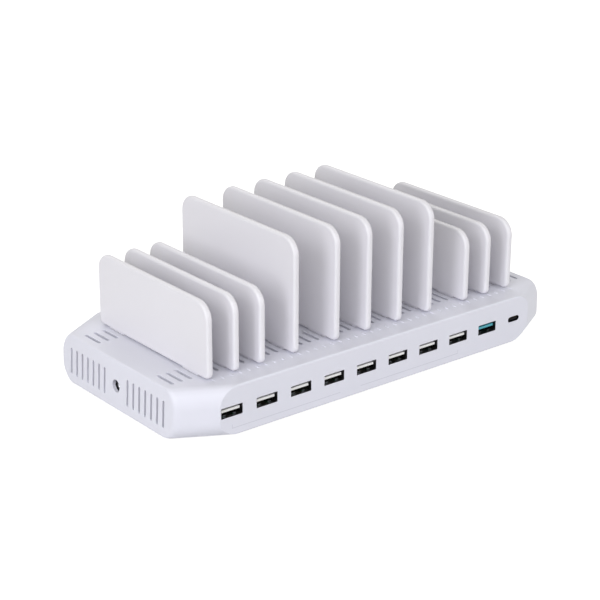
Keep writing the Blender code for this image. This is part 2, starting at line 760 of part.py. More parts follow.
def heat_sink(mat):
    """Finned block with its fins along X."""
    half_length = board_half * SINK_LENGTH_SHARE
    depth = board_depth * SINK_DEPTH_SHARE
    middle = board_place(0, SINK_Y_SHARE)[1]
    front = middle - depth / 2
    pitch = depth / (SINK_FINS - 1 + SINK_FIN_SHARE)
    fin = pitch * SINK_FIN_SHARE
    base_top = mount_z + SINK_BASE
    fin_top = mount_z + SINK_HEIGHT
    profile = [(front + depth, mount_z), (front, mount_z)]
    for i in range(SINK_FINS):
        start = front + pitch * i
        if i:
            profile.append((start, base_top))
        profile += [(start, fin_top), (start + fin, fin_top)]
        if i < SINK_FINS - 1:
            profile.append((start + fin, base_top))
    bm = bmesh.new()
    add_prism(bm, [(-half_length, y, z) for y, z in profile], (2 * half_length, 0, 0))
    make_object("heat_sink", bm, mat)


# Dividers


def divider_outline(x, rise, inset):
    """Rounded outline of a plate, drawn in by inset, at one x."""
    low = deck_z + DIVIDER_UNDER_GAP
    high = deck_z + rise
    corners = (
        (divider_front_y, low, DIVIDER_BASE_RADIUS, DIVIDER_BASE_STEPS, 180),
        (divider_rear_y, low, DIVIDER_BASE_RADIUS, DIVIDER_BASE_STEPS, 270),
        (divider_rear_y, high, DIVIDER_TOP_RADIUS, DIVIDER_TOP_STEPS, 0),
        (divider_front_y, high, DIVIDER_TOP_RADIUS, DIVIDER_TOP_STEPS, 90),
    )
    points = []
    for y, z, radius, steps, start in corners:
        middle_y = y + radius if y == divider_front_y else y - radius
        middle_z = z + radius if z == low else z - radius
        for i in range(steps + 1):
            angle = math.radians(start + 90 * i / steps)
            reach = radius - inset
            points.append((x, middle_y + reach * math.cos(angle), middle_z + reach * math.sin(angle)))
    return points


def add_divider_plate(bm, x, rise):
    """Add a plate with rounded edges all round."""
    half = DIVIDER_THICKNESS / 2
    rings = []
    for i in range(DIVIDER_EDGE_STEPS + 1):
        angle = math.pi / 2 * i / DIVIDER_EDGE_STEPS
        inset = DIVIDER_EDGE_ROUND * (1 - math.sin(angle))
        out = half - DIVIDER_EDGE_ROUND * (1 - math.cos(angle))
        rings.append((out, inset))
    sections = [(-out, inset) for out, inset in rings] + list(reversed(rings))
    add_loft(bm, [divider_outline(x + out, rise, inset) for out, inset in sections])


def add_divider_tabs(bm, x):
    """Add the two feet on the deck with the tabs that reach down through the slits."""
    tab_half = SLIT_WIDTH / 2 - CLEARANCE
    foot_half = DIVIDER_THICKNESS / 2 - TAB_FOOT_SETBACK
    foot_z = deck_z + CLEARANCE
    top = deck_z + DIVIDER_UNDER_GAP + TAB_ROOT
    right = [
        (tab_half, deck_z - TAB_DEPTH),
        (tab_half, foot_z),
        (foot_half, foot_z),
        (foot_half, top),
    ]
    profile = right + [(-dx, z) for dx, z in reversed(right)]
    for slit_y in (front_slit_y, rear_slit_y):
        y = slit_y + CLEARANCE
        add_prism(bm, [(x + dx, y, z) for dx, z in profile], (0, SLIT_LENGTH - 2 * CLEARANCE, 0))


def dividers(mat):
    """Eleven plates, short at both ends and tall in the middle, on empties at their slits."""
    last_tall = len(DIVIDER_ROWS) - SHORT_AT_EACH_END
    for index, row in enumerate(DIVIDER_ROWS):
        tall = SHORT_AT_EACH_END <= index < last_tall
        rise = TALL_DIVIDER_RISE if tall else SHORT_DIVIDER_RISE
        name = "divider_" + str(index + 1)
        seat = bpy.data.objects.new(name + "_seat", None)
        seat.location = (slit_pitch * row, 0, 0)
        bpy.context.collection.objects.link(seat)
        bm = bmesh.new()
        add_divider_plate(bm, 0, rise)
        plate = make_object(name, bm, mat, smooth=True)
        tabs = bmesh.new()
        add_divider_tabs(tabs, 0)
        combine(plate, "UNION", tabs)
        plate.parent = seat
        plate.modifiers[0].object.parent = seat


def build():
    """Make the whole station."""
    clear_scene()
    white = material("white_housing", (0.83, 0.83, 0.86), 0.38)
    plate_white = material("white_divider", (0.86, 0.86, 0.88), 0.34)
    cover_white = material("white_cover", (0.78, 0.78, 0.80), 0.55)
    steel = material("bright_steel", (0.62, 0.62, 0.64), 0.28, 1.0)
    screw_steel = material("screw_steel", (0.45, 0.45, 0.47), 0.35, 1.0)
    tongue_white = material("white_insulator", (0.80, 0.80, 0.80), 0.45)
    teal = material("teal_insulator", (0.03, 0.30, 0.36), 0.45)
    black = material("black_plastic", (0.02, 0.02, 0.02), 0.45)
    green = material("green_board", (0.03, 0.18, 0.08), 0.40)
    ferrite = material("dark_ferrite", (0.06, 0.06, 0.065), 0.60)
    can = material("can_aluminium", (0.70, 0.70, 0.72), 0.30, 1.0)
    fins = material("fin_aluminium", (0.60, 0.60, 0.62), 0.40, 1.0)
    rubber = material("grey_rubber", (0.30, 0.30, 0.31), 0.85)

    top_housing(white)
    bottom_cover(cover_white)
    main_board(green)
    for i, (x, z) in enumerate(port_places()):
        number = str(i + 1)
        usb_a_shell("usb_a_shell_" + number, x, z, steel)
        last = i == USB_A_COUNT - 1
        usb_a_tongue("usb_a_tongue_" + number, x, z, teal if last else tongue_white)
    usb_c_socket(steel, black, black)
    dc_jack(black, steel)
    power_inductors(ferrite)
    control_chips(black)
    filter_capacitors(can)
    heat_sink(fins)
    screws("board_screw", standoff_places, screw_steel, mount_z, BOARD_SCREW_HEAD_HEIGHT,
           BOARD_SCREW_HEAD_RADIUS, standoff_top - BOARD_SCREW_BITE)
    screws("cover_screw", boss_places, screw_steel, cover_head_bottom, COVER_SCREW_HEAD_HEIGHT,
           COVER_SCREW_HEAD_RADIUS, cover_head_top + COVER_SCREW_LENGTH)
    feet(rubber)
    dividers(plate_white)


build()
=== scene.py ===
import math

import bmesh
import bpy
from mathutils import Matrix, Vector


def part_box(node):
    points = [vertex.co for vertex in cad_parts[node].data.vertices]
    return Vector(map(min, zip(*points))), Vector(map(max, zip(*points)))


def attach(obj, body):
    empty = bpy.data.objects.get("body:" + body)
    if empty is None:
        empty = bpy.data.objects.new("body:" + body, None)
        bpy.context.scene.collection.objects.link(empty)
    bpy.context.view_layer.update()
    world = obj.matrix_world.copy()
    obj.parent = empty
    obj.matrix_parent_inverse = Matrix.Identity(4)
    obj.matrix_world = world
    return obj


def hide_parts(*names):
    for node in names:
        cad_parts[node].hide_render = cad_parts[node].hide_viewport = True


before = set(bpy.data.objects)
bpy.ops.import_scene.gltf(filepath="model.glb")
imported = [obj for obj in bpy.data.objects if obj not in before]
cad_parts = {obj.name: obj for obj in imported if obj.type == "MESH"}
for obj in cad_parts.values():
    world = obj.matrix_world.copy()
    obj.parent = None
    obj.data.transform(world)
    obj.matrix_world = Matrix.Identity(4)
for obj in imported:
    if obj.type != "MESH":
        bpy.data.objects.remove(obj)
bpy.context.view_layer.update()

MM = 0.001
QUARTER = math.pi / 2

# Round forms and shading; TOUCH is the distance that counts as touching
TOUCH = 0.005 * MM
ROUND_SIDES = 32
FINE_SIDES = 48
ROUND_STEPS = 4
BEVEL_ANGLE = 40
SMOOTH_ANGLE = 35
CAN_SMOOTH_ANGLE = 50
JOINT_SMOOTH_ANGLE = 60
NORMAL_WEIGHT = 50

# Housing: walls, corner cuts and roundings
WALL = 2.0 * MM
PORT_WALL = 1.0 * MM
CLEARANCE = 0.3 * MM
OVERRUN = 1.0 * MM
CORNER_CUT_X = 32.0 * MM
CORNER_CUT_Y = 19.0 * MM
CORNER_SWELL_X = 13.6 * MM
CORNER_SWELL_Y = 9.0 * MM
PANEL_SHIFT = 1.25 * MM
END_DRAFT = 1.4 * MM
TOP_ARC = 10.4 * MM
BOTTOM_ARC = 9.5 * MM
EDGE_ROUND = 1.0 * MM
FRONT_CREASE = 1.2 * MM
END_CREASE = 4.0 * MM
ARC_STEPS = 14
EDGE_STEPS = 4
CREASE_STEPS = 5

# Corner facets: side in x, side in y, fullness of the swell above and below, shift of the front
# panel's edge, extra swell in y
CORNERS = (
    (1, 1, 1.6, 1.6, 0.0, 0.0),
    (-1, 1, 1.6, 1.6, 0.0, 0.0),
    (-1, -1, 2.0, 2.0, PANEL_SHIFT, 0.0),
    (1, -1, 2.8, 1.7, -PANEL_SHIFT, 1.1 * MM),
)

# Vents, slits and windows; a mouth is the small quarter-round edge of an opening
VENT_COUNT = 7
VENT_SKIP = 2
VENT_EDGE_MARGIN = 9.9 * MM
VENT_WIDTH = 1.65 * MM
VENT_HEIGHT = 14.6 * MM
VENT_BOTTOM_ABOVE_BASE = 5.2 * MM
SLIT_ROWS = 45
SLIT_END_MARGIN = 6.1 * MM
SLIT_LENGTH = 13.9 * MM
SLIT_WIDTH = 1.8 * MM
FRONT_SLIT_INSET = 8.95 * MM
REAR_SLIT_INSET = 22.9 * MM
WINDOW_WIDTH = 13.4 * MM
WINDOW_HEIGHT = 5.75 * MM
WINDOW_CORNER = 0.35 * MM
SMALL_WINDOW_WIDTH = 8.6 * MM
SMALL_WINDOW_HEIGHT = 3.1 * MM
INLET_HOLE_RADIUS = 3.3 * MM
SLIT_MOUTH = 0.2 * MM
VENT_MOUTH = 0.15 * MM
WINDOW_MOUTH = 0.12 * MM
WINDOW_LIP = 0.22 * MM
REBATE_GAP = 0.05 * MM
INLET_MOUTH = 0.3 * MM
MOUTH_STEPS = 3
SLOT_END_STEPS = 8

# Small raised dashes between the rows of slits and the front edge of the deck
MARK_FRONT_INSET = 11.5 * MM
MARK_SIDE_SHIFT = 1.9 * MM
MARK_LENGTH = 2.6 * MM
MARK_WIDTH = 0.8 * MM
MARK_RISE = 0.3 * MM

# Screw bosses and screws
BOSS_RADIUS = 3.5 * MM
BOSS_BORE_DEPTH = 12.0 * MM
SCREW_BORE = 1.5 * MM
SCREW_RADIUS = 1.2 * MM
SCREW_SIDES = 20
THREAD_PITCH = 0.8 * MM
THREAD_DEPTH = 0.22 * MM
THREAD_LEVELS = 6
COVER_HEAD_HEIGHT = 1.4 * MM
BOARD_HEAD_HEIGHT = 1.5 * MM
HEAD_ROUND = 0.35 * MM
DRIVE_RADIUS = 1.3 * MM
DRIVE_DEPTH = 0.8 * MM
DRIVE_WALL_SHARE = 0.7
DRIVE_SIDES = 6

# Cover, feet and standoffs
COVER_THICKNESS = 2.0 * MM
COVER_EDGE = 0.4 * MM
COVER_RING_RADIUS = 5.0 * MM
COVER_RING_HEIGHT = 1.6 * MM
STANDOFF_RADIUS = 3.0 * MM
FOOT_RECESS = 0.8 * MM
FOOT_ROUND = 0.5 * MM
FOOT_DIMPLE = 0.12 * MM
DIMPLE_FLOOR_SHARE = 0.8

# Divider plates
PLATE_EDGE = 1.4 * MM
PLATE_TOP_RADIUS = 9.5 * MM
PLATE_BASE_RADIUS = 3.0 * MM
PLATE_UNDER_GAP = 0.7 * MM
PLATE_CORNER_STEPS = 14
PLATE_EDGE_STEPS = 5
TAB_DEPTH = 6.0 * MM
TAB_WIDTH = 1.2 * MM
TAB_CHAMFER = 0.8 * MM
TAB_ROOT = 1.3 * MM
PLATE_FOOT_WIDTH = 2.7 * MM
PLATE_FOOT_ROUND = 0.2 * MM

# Sockets
SHEET = 0.26 * MM
SHEET_CORNER = 0.35 * MM
SHEET_EDGE = 0.08 * MM
TONGUE_WIDTH = 11.3 * MM
TONGUE_THICKNESS = 1.7 * MM
TONGUE_DROP = 1.6 * MM
TONGUE_RECESS = 1.1 * MM
TONGUE_NOSE = 0.8 * MM
TONGUE_NOSE_RISE = 0.35 * MM
TONGUE_BEVEL = 0.12 * MM
BLOCK_LENGTH = 3.0 * MM
LEAF_SIDE_SHIFT = 3.2 * MM
LEAF_WIDTH = 1.8 * MM
LEAF_SLOT_GAP = 0.3 * MM
LEAF_START = 2.2 * MM
LEAF_END = 9.2 * MM
LEAF_SHEET = 0.28 * MM
LEAF_RISE = 0.65 * MM
LEAF_STEPS = 10
LEAF_PEAK_SHARE = 0.8
STRIP_SIDE_SHIFTS = (-3.5 * MM, -1.0 * MM, 1.0 * MM, 3.5 * MM)
STRIP_WIDTH = 1.1 * MM
STRIP_THICKNESS = 0.2 * MM
STRIP_INSET = 1.2 * MM
STRIP_BULGE = 0.25 * MM
SMALL_TONGUE_WIDTH = 6.6 * MM
SMALL_TONGUE_THICKNESS = 0.7 * MM
SMALL_STRIPS = 12
SMALL_STRIP_PITCH = 0.5 * MM
SMALL_STRIP_WIDTH = 0.26 * MM
SMALL_STRIP_LENGTH = 3.6 * MM
SMALL_STRIP_THICKNESS = 0.06 * MM

# Power inlet
INLET_BORE_RADIUS = 3.15 * MM
INLET_BORE_DEPTH = 11.0 * MM
INLET_SLEEVE_WALL = 0.25 * MM
INLET_SLEEVE_RECESS = 0.4 * MM
INLET_WING_REACH = 2.5 * MM
INLET_WING_LENGTH = 8.0 * MM
INLET_WING_THICKNESS = 1.0 * MM
INLET_PIN_SEAT = 1.35 * MM
INLET_PIN_ROUND_SHARE = 0.7
INLET_BEVEL = 0.4 * MM

# Parts on the board
BOARD_BEVEL = 0.25 * MM
LEG_COUNT = 7
LEG_WIDTH = 0.35 * MM
LEG_REACH = 1.0 * MM
LEG_THICKNESS = 0.15 * MM
LEG_SHARES = (-0.25, 0.25, 0.5, 1.0)
CHIP_DOT_RADIUS = 0.45 * MM
CHIP_DOT_DEPTH = 0.12 * MM
CHIP_DOT_SIDES = 16
CAN_ROUND = 0.5 * MM
CAN_CRIMP = 0.45 * MM
CAN_CRIMP_HEIGHT = 1.8 * MM
CAN_CRIMP_STEPS = 6
CAN_SEAL_HEIGHT = 0.9 * MM
CAN_TOP_SHARES = (0.8, 0.78)
FIN_COUNT = 7
FIN_SHARE = 0.36
FIN_BASE = 2.0 * MM
INDUCTOR_CORNER = 1.6 * MM
JOINT_RADIUS = 0.6 * MM
JOINT_RISE = 0.5 * MM
JOINT_STEPS = 5
JOINT_SIDES = 12

# Printed bracket under the first eight sockets, with a bare middle
BRACKET_SOCKETS = 8
BRACKET_HEIGHT = 5.3 * MM
BRACKET_TICK = 2.0 * MM
BRACKET_LINE = 0.3 * MM
BRACKET_BARE = 14.0 * MM
INK_COVER = 0.75
INK_GLOSS = 0.1

# Patterns of the finishes: sizes, depths, shares of the noise where marks begin, and their strength
CLOUD_SIZE = 45.0 * MM
GLOSS_SIZE = 7.0 * MM
GLOSS_SPREAD = 0.12
GRAIN_SHARE = 0.7
COARSE_GRAIN = 3
COARSE_GRAIN_SHARE = 0.3
LINE_SIZE = 0.12 * MM
LINE_DEPTH = 0.004 * MM
LINE_SPREAD = 0.16
OXIDE_SIZE = 3.0 * MM
OXIDE_SHARE = 0.82
OXIDE_SPREAD = 0.1
SCUFF_SIZE = 0.25 * MM
SCUFF_START = 0.64
SCUFF_PATCH = 18.0 * MM
SCUFF_PATCH_START = 0.5
SCUFF_DULLING = 0.12
RUB_SIZE = 0.3 * MM
RUB_START = 0.66
RUB_PATCH = 22.0 * MM
RUB_PATCH_START = 0.52
RUB_SHARE = 0.1
PORE_DEPTH = 0.03 * MM
TRACK_LAYOUT = {"Scale": 90.0, "Mortar Size": 0.035, "Row Height": 0.16}
VIA_SCALE = 170.0
VIA_RADIUS = 0.09
RUBBER_GREYS = ((0.24, 0.24, 0.25), (0.33, 0.33, 0.34))
POWDER_GREYS = ((0.035, 0.036, 0.04), (0.11, 0.11, 0.12))

# Stage; a lamp's numbers are its turn from the left to the front, rise, power, width and height
FLOOR_HALF = 4.0
FLOOR_SHARE = 0.45
FLOOR_GLOW = 0.87
FLOOR_BOUNCE = 0.60
AMBIENT = 0.36
AMBIENT_TINT = (1.0, 0.98, 0.82)
WHITE = (1.0, 1.0, 1.0)
LAMP_TINT = (0.97, 0.975, 1.04)
LAMP_DISTANCE = 1.6
LAMPS = {
    "side_lamp": (17.0, 20.0, 10.2, 0.5, 1.1),
    "high_lamp": (45.0, 38.0, 7.9, 0.8, 0.8),
    "right_lamp": (116.0, 20.0, 7.6, 0.8, 0.8),
    "back_lamp": (250.0, 45.0, 4.8, 0.8, 0.8),
}
CAMERA_PLACE = (-0.56520, -0.69466, 0.38064)
CAMERA_YAW = 0.677852
CAMERA_PITCH = 0.372558
CAMERA_ROLL = 0.004952
CAMERA_LENS = 104.72
CAMERA_SENSOR = 36.0
CAMERA_NEAR = 0.01


def nodes_named(start):
    """Names of the numbered nodes that begin with a word, in order."""
    found = [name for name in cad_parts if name.startswith(start + "_")]
    return sorted(found, key=lambda name: int(name.rsplit("_", 1)[1]))


def middle(node):
    """Middle of a node's box."""
    low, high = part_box(node)
    return (low + high) / 2


def middles(start):
    """Middles of the numbered nodes that begin with a word."""
    return [middle(name) for name in nodes_named(start)]


def half_width(node):
    """Half the width of a node's box in x."""
    low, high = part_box(node)
    return (high.x - low.x) / 2


def numbered(start):
    """Number, name, both corners of the box and its middle, of each of the numbered nodes."""
    for number, name in enumerate(nodes_named(start), 1):
        yield (str(number), name, *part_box(name), middle(name))


# Places that follow from the frame
housing_low, housing_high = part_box("top_housing")
depth_half = housing_high.y
base_z = housing_low.z
deck_z = housing_high.z
body_height = deck_z - base_z
body_half = housing_high.x - END_DRAFT * (1 - EDGE_ROUND / body_height)
slit_pitch = 2 * (body_half - SLIT_END_MARGIN) / (SLIT_ROWS - 1)
end_face_half = depth_half - CORNER_CUT_Y + CORNER_SWELL_Y
vent_pitch = (end_face_half - VENT_EDGE_MARGIN) / (VENT_SKIP + VENT_COUNT - 1)
plate_low, plate_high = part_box("divider_1")
slit_front_y = plate_low.y + FRONT_SLIT_INSET
slit_rear_y = plate_high.y - REAR_SLIT_INSET
board_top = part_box("main_board")[1].z
bottom_of_standoffs = base_z + COVER_THICKNESS
socket_places = middles("usb_a_shell")
first_socket = socket_places[0]
socket_pitch = socket_places[1].x - first_socket.x
socket_low, socket_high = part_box("usb_a_shell_1")
small_low, small_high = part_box("usb_c_shell")
small_centre = (small_low + small_high) / 2
nose_y = -depth_half + WINDOW_LIP + REBATE_GAP
tongue_top = first_socket.z + WINDOW_HEIGHT / 2 - TONGUE_DROP
tongue_under = tongue_top - TONGUE_THICKNESS
inlet_low, inlet_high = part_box("dc_jack")
inlet_z = middle("dc_jack_pin").z
cover_screw_places = middles("cover_screw")
board_screw_places = middles("board_screw")


# Node trees, for materials and for geometry


def operator(operation):
    """A Math node as an operator of a field."""
    return lambda field, other: field.maths(operation, field, other)


def reflected(operation):
    """The same with the field on the right."""
    return lambda field, other: field.maths(operation, other, field)


class Field:
    """A socket in a node tree; arithmetic on it adds Math nodes."""

    __add__ = operator("ADD")
    __radd__ = reflected("ADD")
    __sub__ = operator("SUBTRACT")
    __rsub__ = reflected("SUBTRACT")
    __mul__ = operator("MULTIPLY")
    __rmul__ = reflected("MULTIPLY")
    __truediv__ = operator("DIVIDE")
    __gt__ = operator("GREATER_THAN")
    __lt__ = operator("LESS_THAN")
    larger = operator("MAXIMUM")

    def __init__(self, nodes, socket):
        self.nodes = nodes
        self.socket = socket

    def maths(self, operation, *values):
        """Add one Math node on the values."""
        return self.nodes.add("ShaderNodeMath", dict(enumerate(values)), operation=operation)

    def __abs__(self):
        return self.maths("ABSOLUTE", self)

    def beside(self, output):
        """Another output of the same node."""
        return Field(self.nodes, self.socket.node.outputs[output])


class Nodes:
    """Adds nodes to one tree and links them."""

    def __init__(self, tree):
        self.tree = tree

    def feed(self, socket, value):
        """Link a field, or several, to a socket, or set its plain value."""
        if isinstance(value, Field):
            self.tree.links.new(value.socket, socket)
        elif isinstance(value, list):
            for part in value:
                self.feed(socket, part)
        else:
            socket.default_value = value

    def add(self, kind, inputs=None, output=0, **settings):
        """Add a node with its settings, feed its sockets by name or number, return one output."""
        node = self.tree.nodes.new(kind)
        for name, value in settings.items():
            setattr(node, name, value)
        for key, value in (inputs or {}).items():
            self.feed(node.inputs[key], value)
        return Field(self, node.outputs[output])

    def mix(self, share, low, high):
        """Blend two colours."""
        return self.add("ShaderNodeMix", {0: share, 6: low, 7: high}, output=2, data_type="RGBA")


class Shape(Nodes):
    """A geometry tree with named inputs, whose result is realised and given its material."""

    def __init__(self, name, **inputs):
        super().__init__(bpy.data.node_groups.new(name, "GeometryNodeTree"))
        self.keys = {}
        for label, kind in inputs.items():
            kind = "NodeSocket" + kind
            item = self.tree.interface.new_socket(label, in_out="INPUT", socket_type=kind)
            self.keys[label] = item.identifier
        self.tree.interface.new_socket("shape", in_out="OUTPUT", socket_type="NodeSocketGeometry")
        self.given = self.tree.nodes.new("NodeGroupInput")

    def __getitem__(self, label):
        return Field(self, self.given.outputs[label])

    def close(self, result):
        """End the tree in Realize Instances and Set Material."""
        solid = self.add("GeometryNodeRealizeInstances", {"Geometry": result})
        dressed = self.add("GeometryNodeSetMaterial", {"Geometry": solid, "Material": self["finish"]})
        last = self.tree.nodes.new("NodeGroupOutput")
        self.feed(last.inputs["shape"], dressed)

    def grow(self, name, **values):
        """Make a plain mesh object from the tree with these input values."""
        piece = put(name, bpy.data.meshes.new(name))
        step = piece.modifiers.new("grow", "NODES")
        step.node_group = self.tree
        for label, value in values.items():
            step[self.keys[label]] = value
        return settle(piece)


class Finish(Nodes):
    """One material, whose patterns follow the piece's own coordinates."""

    def __init__(self, name, metallic=0.0):
        self.material = bpy.data.materials.new(name)
        self.material.use_nodes = True
        super().__init__(self.material.node_tree)
        self.shader = self.tree.nodes["Principled BSDF"]
        self.set(Metallic=metallic)
        self.place = self.add("ShaderNodeTexCoord", output="Object")

    def axis(self, letter):
        """One coordinate of the place on the piece."""
        return self.add("ShaderNodeSeparateXYZ", {0: self.place}, output=letter)

    def noise(self, size, detail=2.0, stretch=(1.0, 1.0, 1.0)):
        """Noise whose patches have about this size, drawn out along an axis by a small stretch."""
        place = self.add("ShaderNodeVectorMath", {0: self.place, 1: stretch}, operation="MULTIPLY")
        inputs = {"Vector": place, "Scale": 1 / size, "Detail": detail}
        return self.add("ShaderNodeTexNoise", inputs)

    def set(self, **values):
        """Feed sockets of the shader; an underscore in a name stands for a space."""
        for name, value in values.items():
            self.feed(self.shader.inputs[name.replace("_", " ")], value)

    def relief(self, height, depth):
        """Bump the surface by a field that runs from 0 to 1 over this depth."""
        self.set(Normal=self.add("ShaderNodeBump", {"Height": height, "Distance": depth}))


# Finishes


def opaque(colour, share=1.0):
    """A colour with alpha, dimmed to a share."""
    return tuple(channel * share for channel in colour) + (1.0,)


class Moulding(Finish):
    """Moulded plastic: fine eroded grain, faint clouds in the colour and an uneven gloss."""

    def __init__(self, name, colour, rough, grain=0.28 * MM, depth=0.012 * MM, cloud_share=0.965):
        super().__init__(name)
        cloud = self.noise(CLOUD_SIZE, 3.0)
        self.tone = self.mix(cloud, opaque(colour, cloud_share), opaque(colour))
        self.rough = rough + GLOSS_SPREAD * (self.noise(GLOSS_SIZE, 4.0) - 0.5)
        self.set(Base_Color=self.tone, Roughness=self.rough)
        coarse = self.noise(grain * COARSE_GRAIN) * COARSE_GRAIN_SHARE
        self.relief(self.noise(grain) * GRAIN_SHARE + coarse, depth)


def metal(name, colour, rough, stretch=(1.0, 0.06, 1.0)):
    """Rolled or turned metal: fine lines along the stretched axis and uneven oxide."""
    finish = Finish(name, metallic=1.0)
    line = finish.noise(LINE_SIZE, 3.0, stretch)
    oxide = finish.noise(OXIDE_SIZE, 4.0)
    finish.set(Base_Color=finish.mix(oxide, opaque(colour, OXIDE_SHARE), opaque(colour)))
    finish.set(Roughness=rough + LINE_SPREAD * (line - 0.5) + OXIDE_SPREAD * (oxide - 0.5))
    finish.relief(line, LINE_DEPTH)
    return finish.material


def bracket_mask(finish):
    """Where the thin printed bracket lies on the front panel: 1 on the line, 0 elsewhere."""
    start = first_socket.x
    end = socket_places[BRACKET_SOCKETS - 1].x
    half_line = BRACKET_LINE / 2
    z = finish.axis("Z")
    on_panel = finish.axis("Y") < -depth_half + OVERRUN / 2
    from_centre = abs(finish.axis("X") - (start + end) / 2)
    reach = (end - start) / 2
    inside = (from_centre < reach + half_line) * (from_centre > BRACKET_BARE / 2)
    along = (abs(z - BRACKET_HEIGHT) < half_line) * inside
    tick_middle = BRACKET_HEIGHT + BRACKET_TICK / 2
    up = (abs(z - tick_middle) < BRACKET_TICK / 2) * (abs(from_centre - reach) < half_line)
    return along.larger(up) * on_panel


def housing_finish():
    """White moulding with the printed bracket and hairline scuffs where devices slide on the deck."""
    finish = Moulding("white_moulding", (0.724, 0.728, 0.808), 0.42)
    hairline = finish.noise(SCUFF_SIZE, 2.0, (1.0, 0.02, 1.0))
    upper = finish.axis("Z") > deck_z - OVERRUN / 4
    scuff = (hairline > SCUFF_START) * upper * (finish.noise(SCUFF_PATCH) > SCUFF_PATCH_START)
    printed = bracket_mask(finish)
    ink = opaque((0.50, 0.50, 0.58))
    finish.set(Base_Color=finish.mix(printed * INK_COVER, finish.tone, ink))
    finish.set(Roughness=finish.rough + scuff * SCUFF_DULLING - printed * INK_GLOSS)
    return finish.material


def plate_finish():
    """White moulding with faint upright rub marks on the faces."""
    finish = Moulding("plate_moulding", (0.762, 0.752, 0.793), 0.40, grain=0.32 * MM)
    rub = finish.noise(RUB_SIZE, 2.0, (1.0, 1.0, 0.03))
    marked = (rub > RUB_START) * (finish.noise(RUB_PATCH) > RUB_PATCH_START)
    rubbed = opaque((0.70, 0.70, 0.74))
    finish.set(Base_Color=finish.mix(marked * RUB_SHARE, finish.tone, rubbed))
    finish.set(Roughness=finish.rough + marked * RUB_SHARE)
    return finish.material


def dull_black_finish():
    """Black moulding of the small socket's tongue, painted near-black and less glossy than the other
    black mouldings: its own black plus painted shade, since the room hardly lights it.
    """
    finish = Moulding("black_tongue", (0.006, 0.006, 0.009), 0.6, cloud_share=0.8)
    finish.set(Specular_IOR_Level=0.15)
    return finish.material


def board_finish():
    """Solder mask over copper tracks, with tinned vias."""
    finish = Finish("board_mask")
    layout = {"Vector": finish.place} | TRACK_LAYOUT
    tracks = finish.add("ShaderNodeTexBrick", layout, output="Fac")
    cells = finish.add("ShaderNodeTexVoronoi", {"Vector": finish.place, "Scale": VIA_SCALE})
    via = cells < VIA_RADIUS
    mask = finish.mix(tracks, opaque((0.012, 0.060, 0.030)), opaque((0.022, 0.105, 0.048)))
    finish.set(Base_Color=finish.mix(via, mask, opaque((0.55, 0.55, 0.53))), Metallic=via)
    finish.set(Roughness=0.34 + 0.1 * finish.noise(5.0 * MM))
    finish.relief(tracks.larger(via), PORE_DEPTH)
    return finish.material


def speckled(name, size, detail, greys, rough, spread, cloud=None):
    """Pressed powder or rubber: pores of one size, and specks or clouds between two greys."""
    finish = Finish(name)
    pore = finish.noise(size, detail)
    tone = finish.noise(*cloud) if cloud else pore
    finish.set(Base_Color=finish.mix(tone, *map(opaque, greys)))
    finish.set(Roughness=rough + spread * pore)
    finish.relief(pore, PORE_DEPTH)
    return finish.material


white_moulding = housing_finish()
plate_moulding = plate_finish()
cover_colour = (0.760, 0.765, 0.815)
cover_moulding = Moulding("cover_moulding", cover_colour, 0.56, 0.5 * MM, 0.03 * MM).material
white_tongue = Moulding("white_tongue", (0.86, 0.86, 0.85), 0.42).material
teal_tongue = Moulding("teal_tongue", (0.062, 0.365, 0.445), 0.42).material
black = (0.018, 0.018, 0.02)
black_moulding = Moulding("black_moulding", black, 0.45, cloud_share=0.8).material
# The small tongue's black is partly its own colour and partly painted shade
black_tongue = dull_black_finish()
# Steel of the large sockets' shells, painted far darker than bare steel: painted shade inside the
# socket mouths
shell_sheet = metal("shell_sheet", (0.20, 0.20, 0.21), 0.30)
# Near-black steel of the small socket's shell: painted shade inside its mouth, not the steel's own
# colour
dark_sheet = metal("dark_sheet", (0.020, 0.020, 0.026), 0.40)
inlet_steel = metal("inlet_steel", (0.60, 0.60, 0.62), 0.26, (0.06, 1.0, 1.0))
contact_gold = metal("contact_gold", (0.85, 0.62, 0.28), 0.24)
tin_solder = metal("tin_solder", (0.62, 0.62, 0.64), 0.30, (1.0, 1.0, 1.0))
screw_zinc = metal("screw_zinc", (0.50, 0.50, 0.52), 0.34, (1.0, 1.0, 0.2))
can_sleeve = metal("can_sleeve", (0.72, 0.72, 0.74), 0.26, (1.0, 1.0, 0.05))
fin_metal = metal("fin_metal", (0.60, 0.60, 0.62), 0.38, (0.05, 1.0, 1.0))
pad_rubber = speckled("pad_rubber", 0.4 * MM, 5.0, RUBBER_GREYS, 0.78, 0.15, (4.0 * MM, 3.0))
pressed_powder = speckled("pressed_powder", 0.25 * MM, 4.0, POWDER_GREYS, 0.55, 0.2)
board_mask = board_finish()


# Mesh helpers


def put(name, data):
    """Add an object with this data to the scene."""
    piece = bpy.data.objects.new(name, data)
    bpy.context.scene.collection.objects.link(piece)
    return piece


def settle(piece):
    """Turn what the piece's modifiers make into its plain mesh."""
    graph = bpy.context.evaluated_depsgraph_get()
    mesh = bpy.data.meshes.new_from_object(piece.evaluated_get(graph))
    piece.modifiers.clear()
    piece.data = mesh
    return piece


def make(name, bm):
    """Turn a bmesh of closed shapes into an object with its faces pointing out."""
    bmesh.ops.recalc_face_normals(bm, faces=bm.faces)
    mesh = bpy.data.meshes.new(name)
    bm.to_mesh(mesh)
    bm.free()
    return put(name, mesh)


def joined(name, pieces, weld=0.0):
    """One object with the meshes of several, which are removed; close points may be welded."""
    bm = bmesh.new()
    for piece in pieces:
        bm.from_mesh(piece.data)
        bpy.data.objects.remove(piece)
    if weld:
        bmesh.ops.remove_doubles(bm, verts=bm.verts, dist=weld)
    return make(name, bm)


def combine(piece, tool, operation="DIFFERENCE"):
    """Cut a tool away from the piece, or join it."""
    step = piece.modifiers.new(operation, "BOOLEAN")
    step.operation = operation
    step.solver = "EXACT"
    step.object = tool
    settle(piece)
    bpy.data.objects.remove(tool)


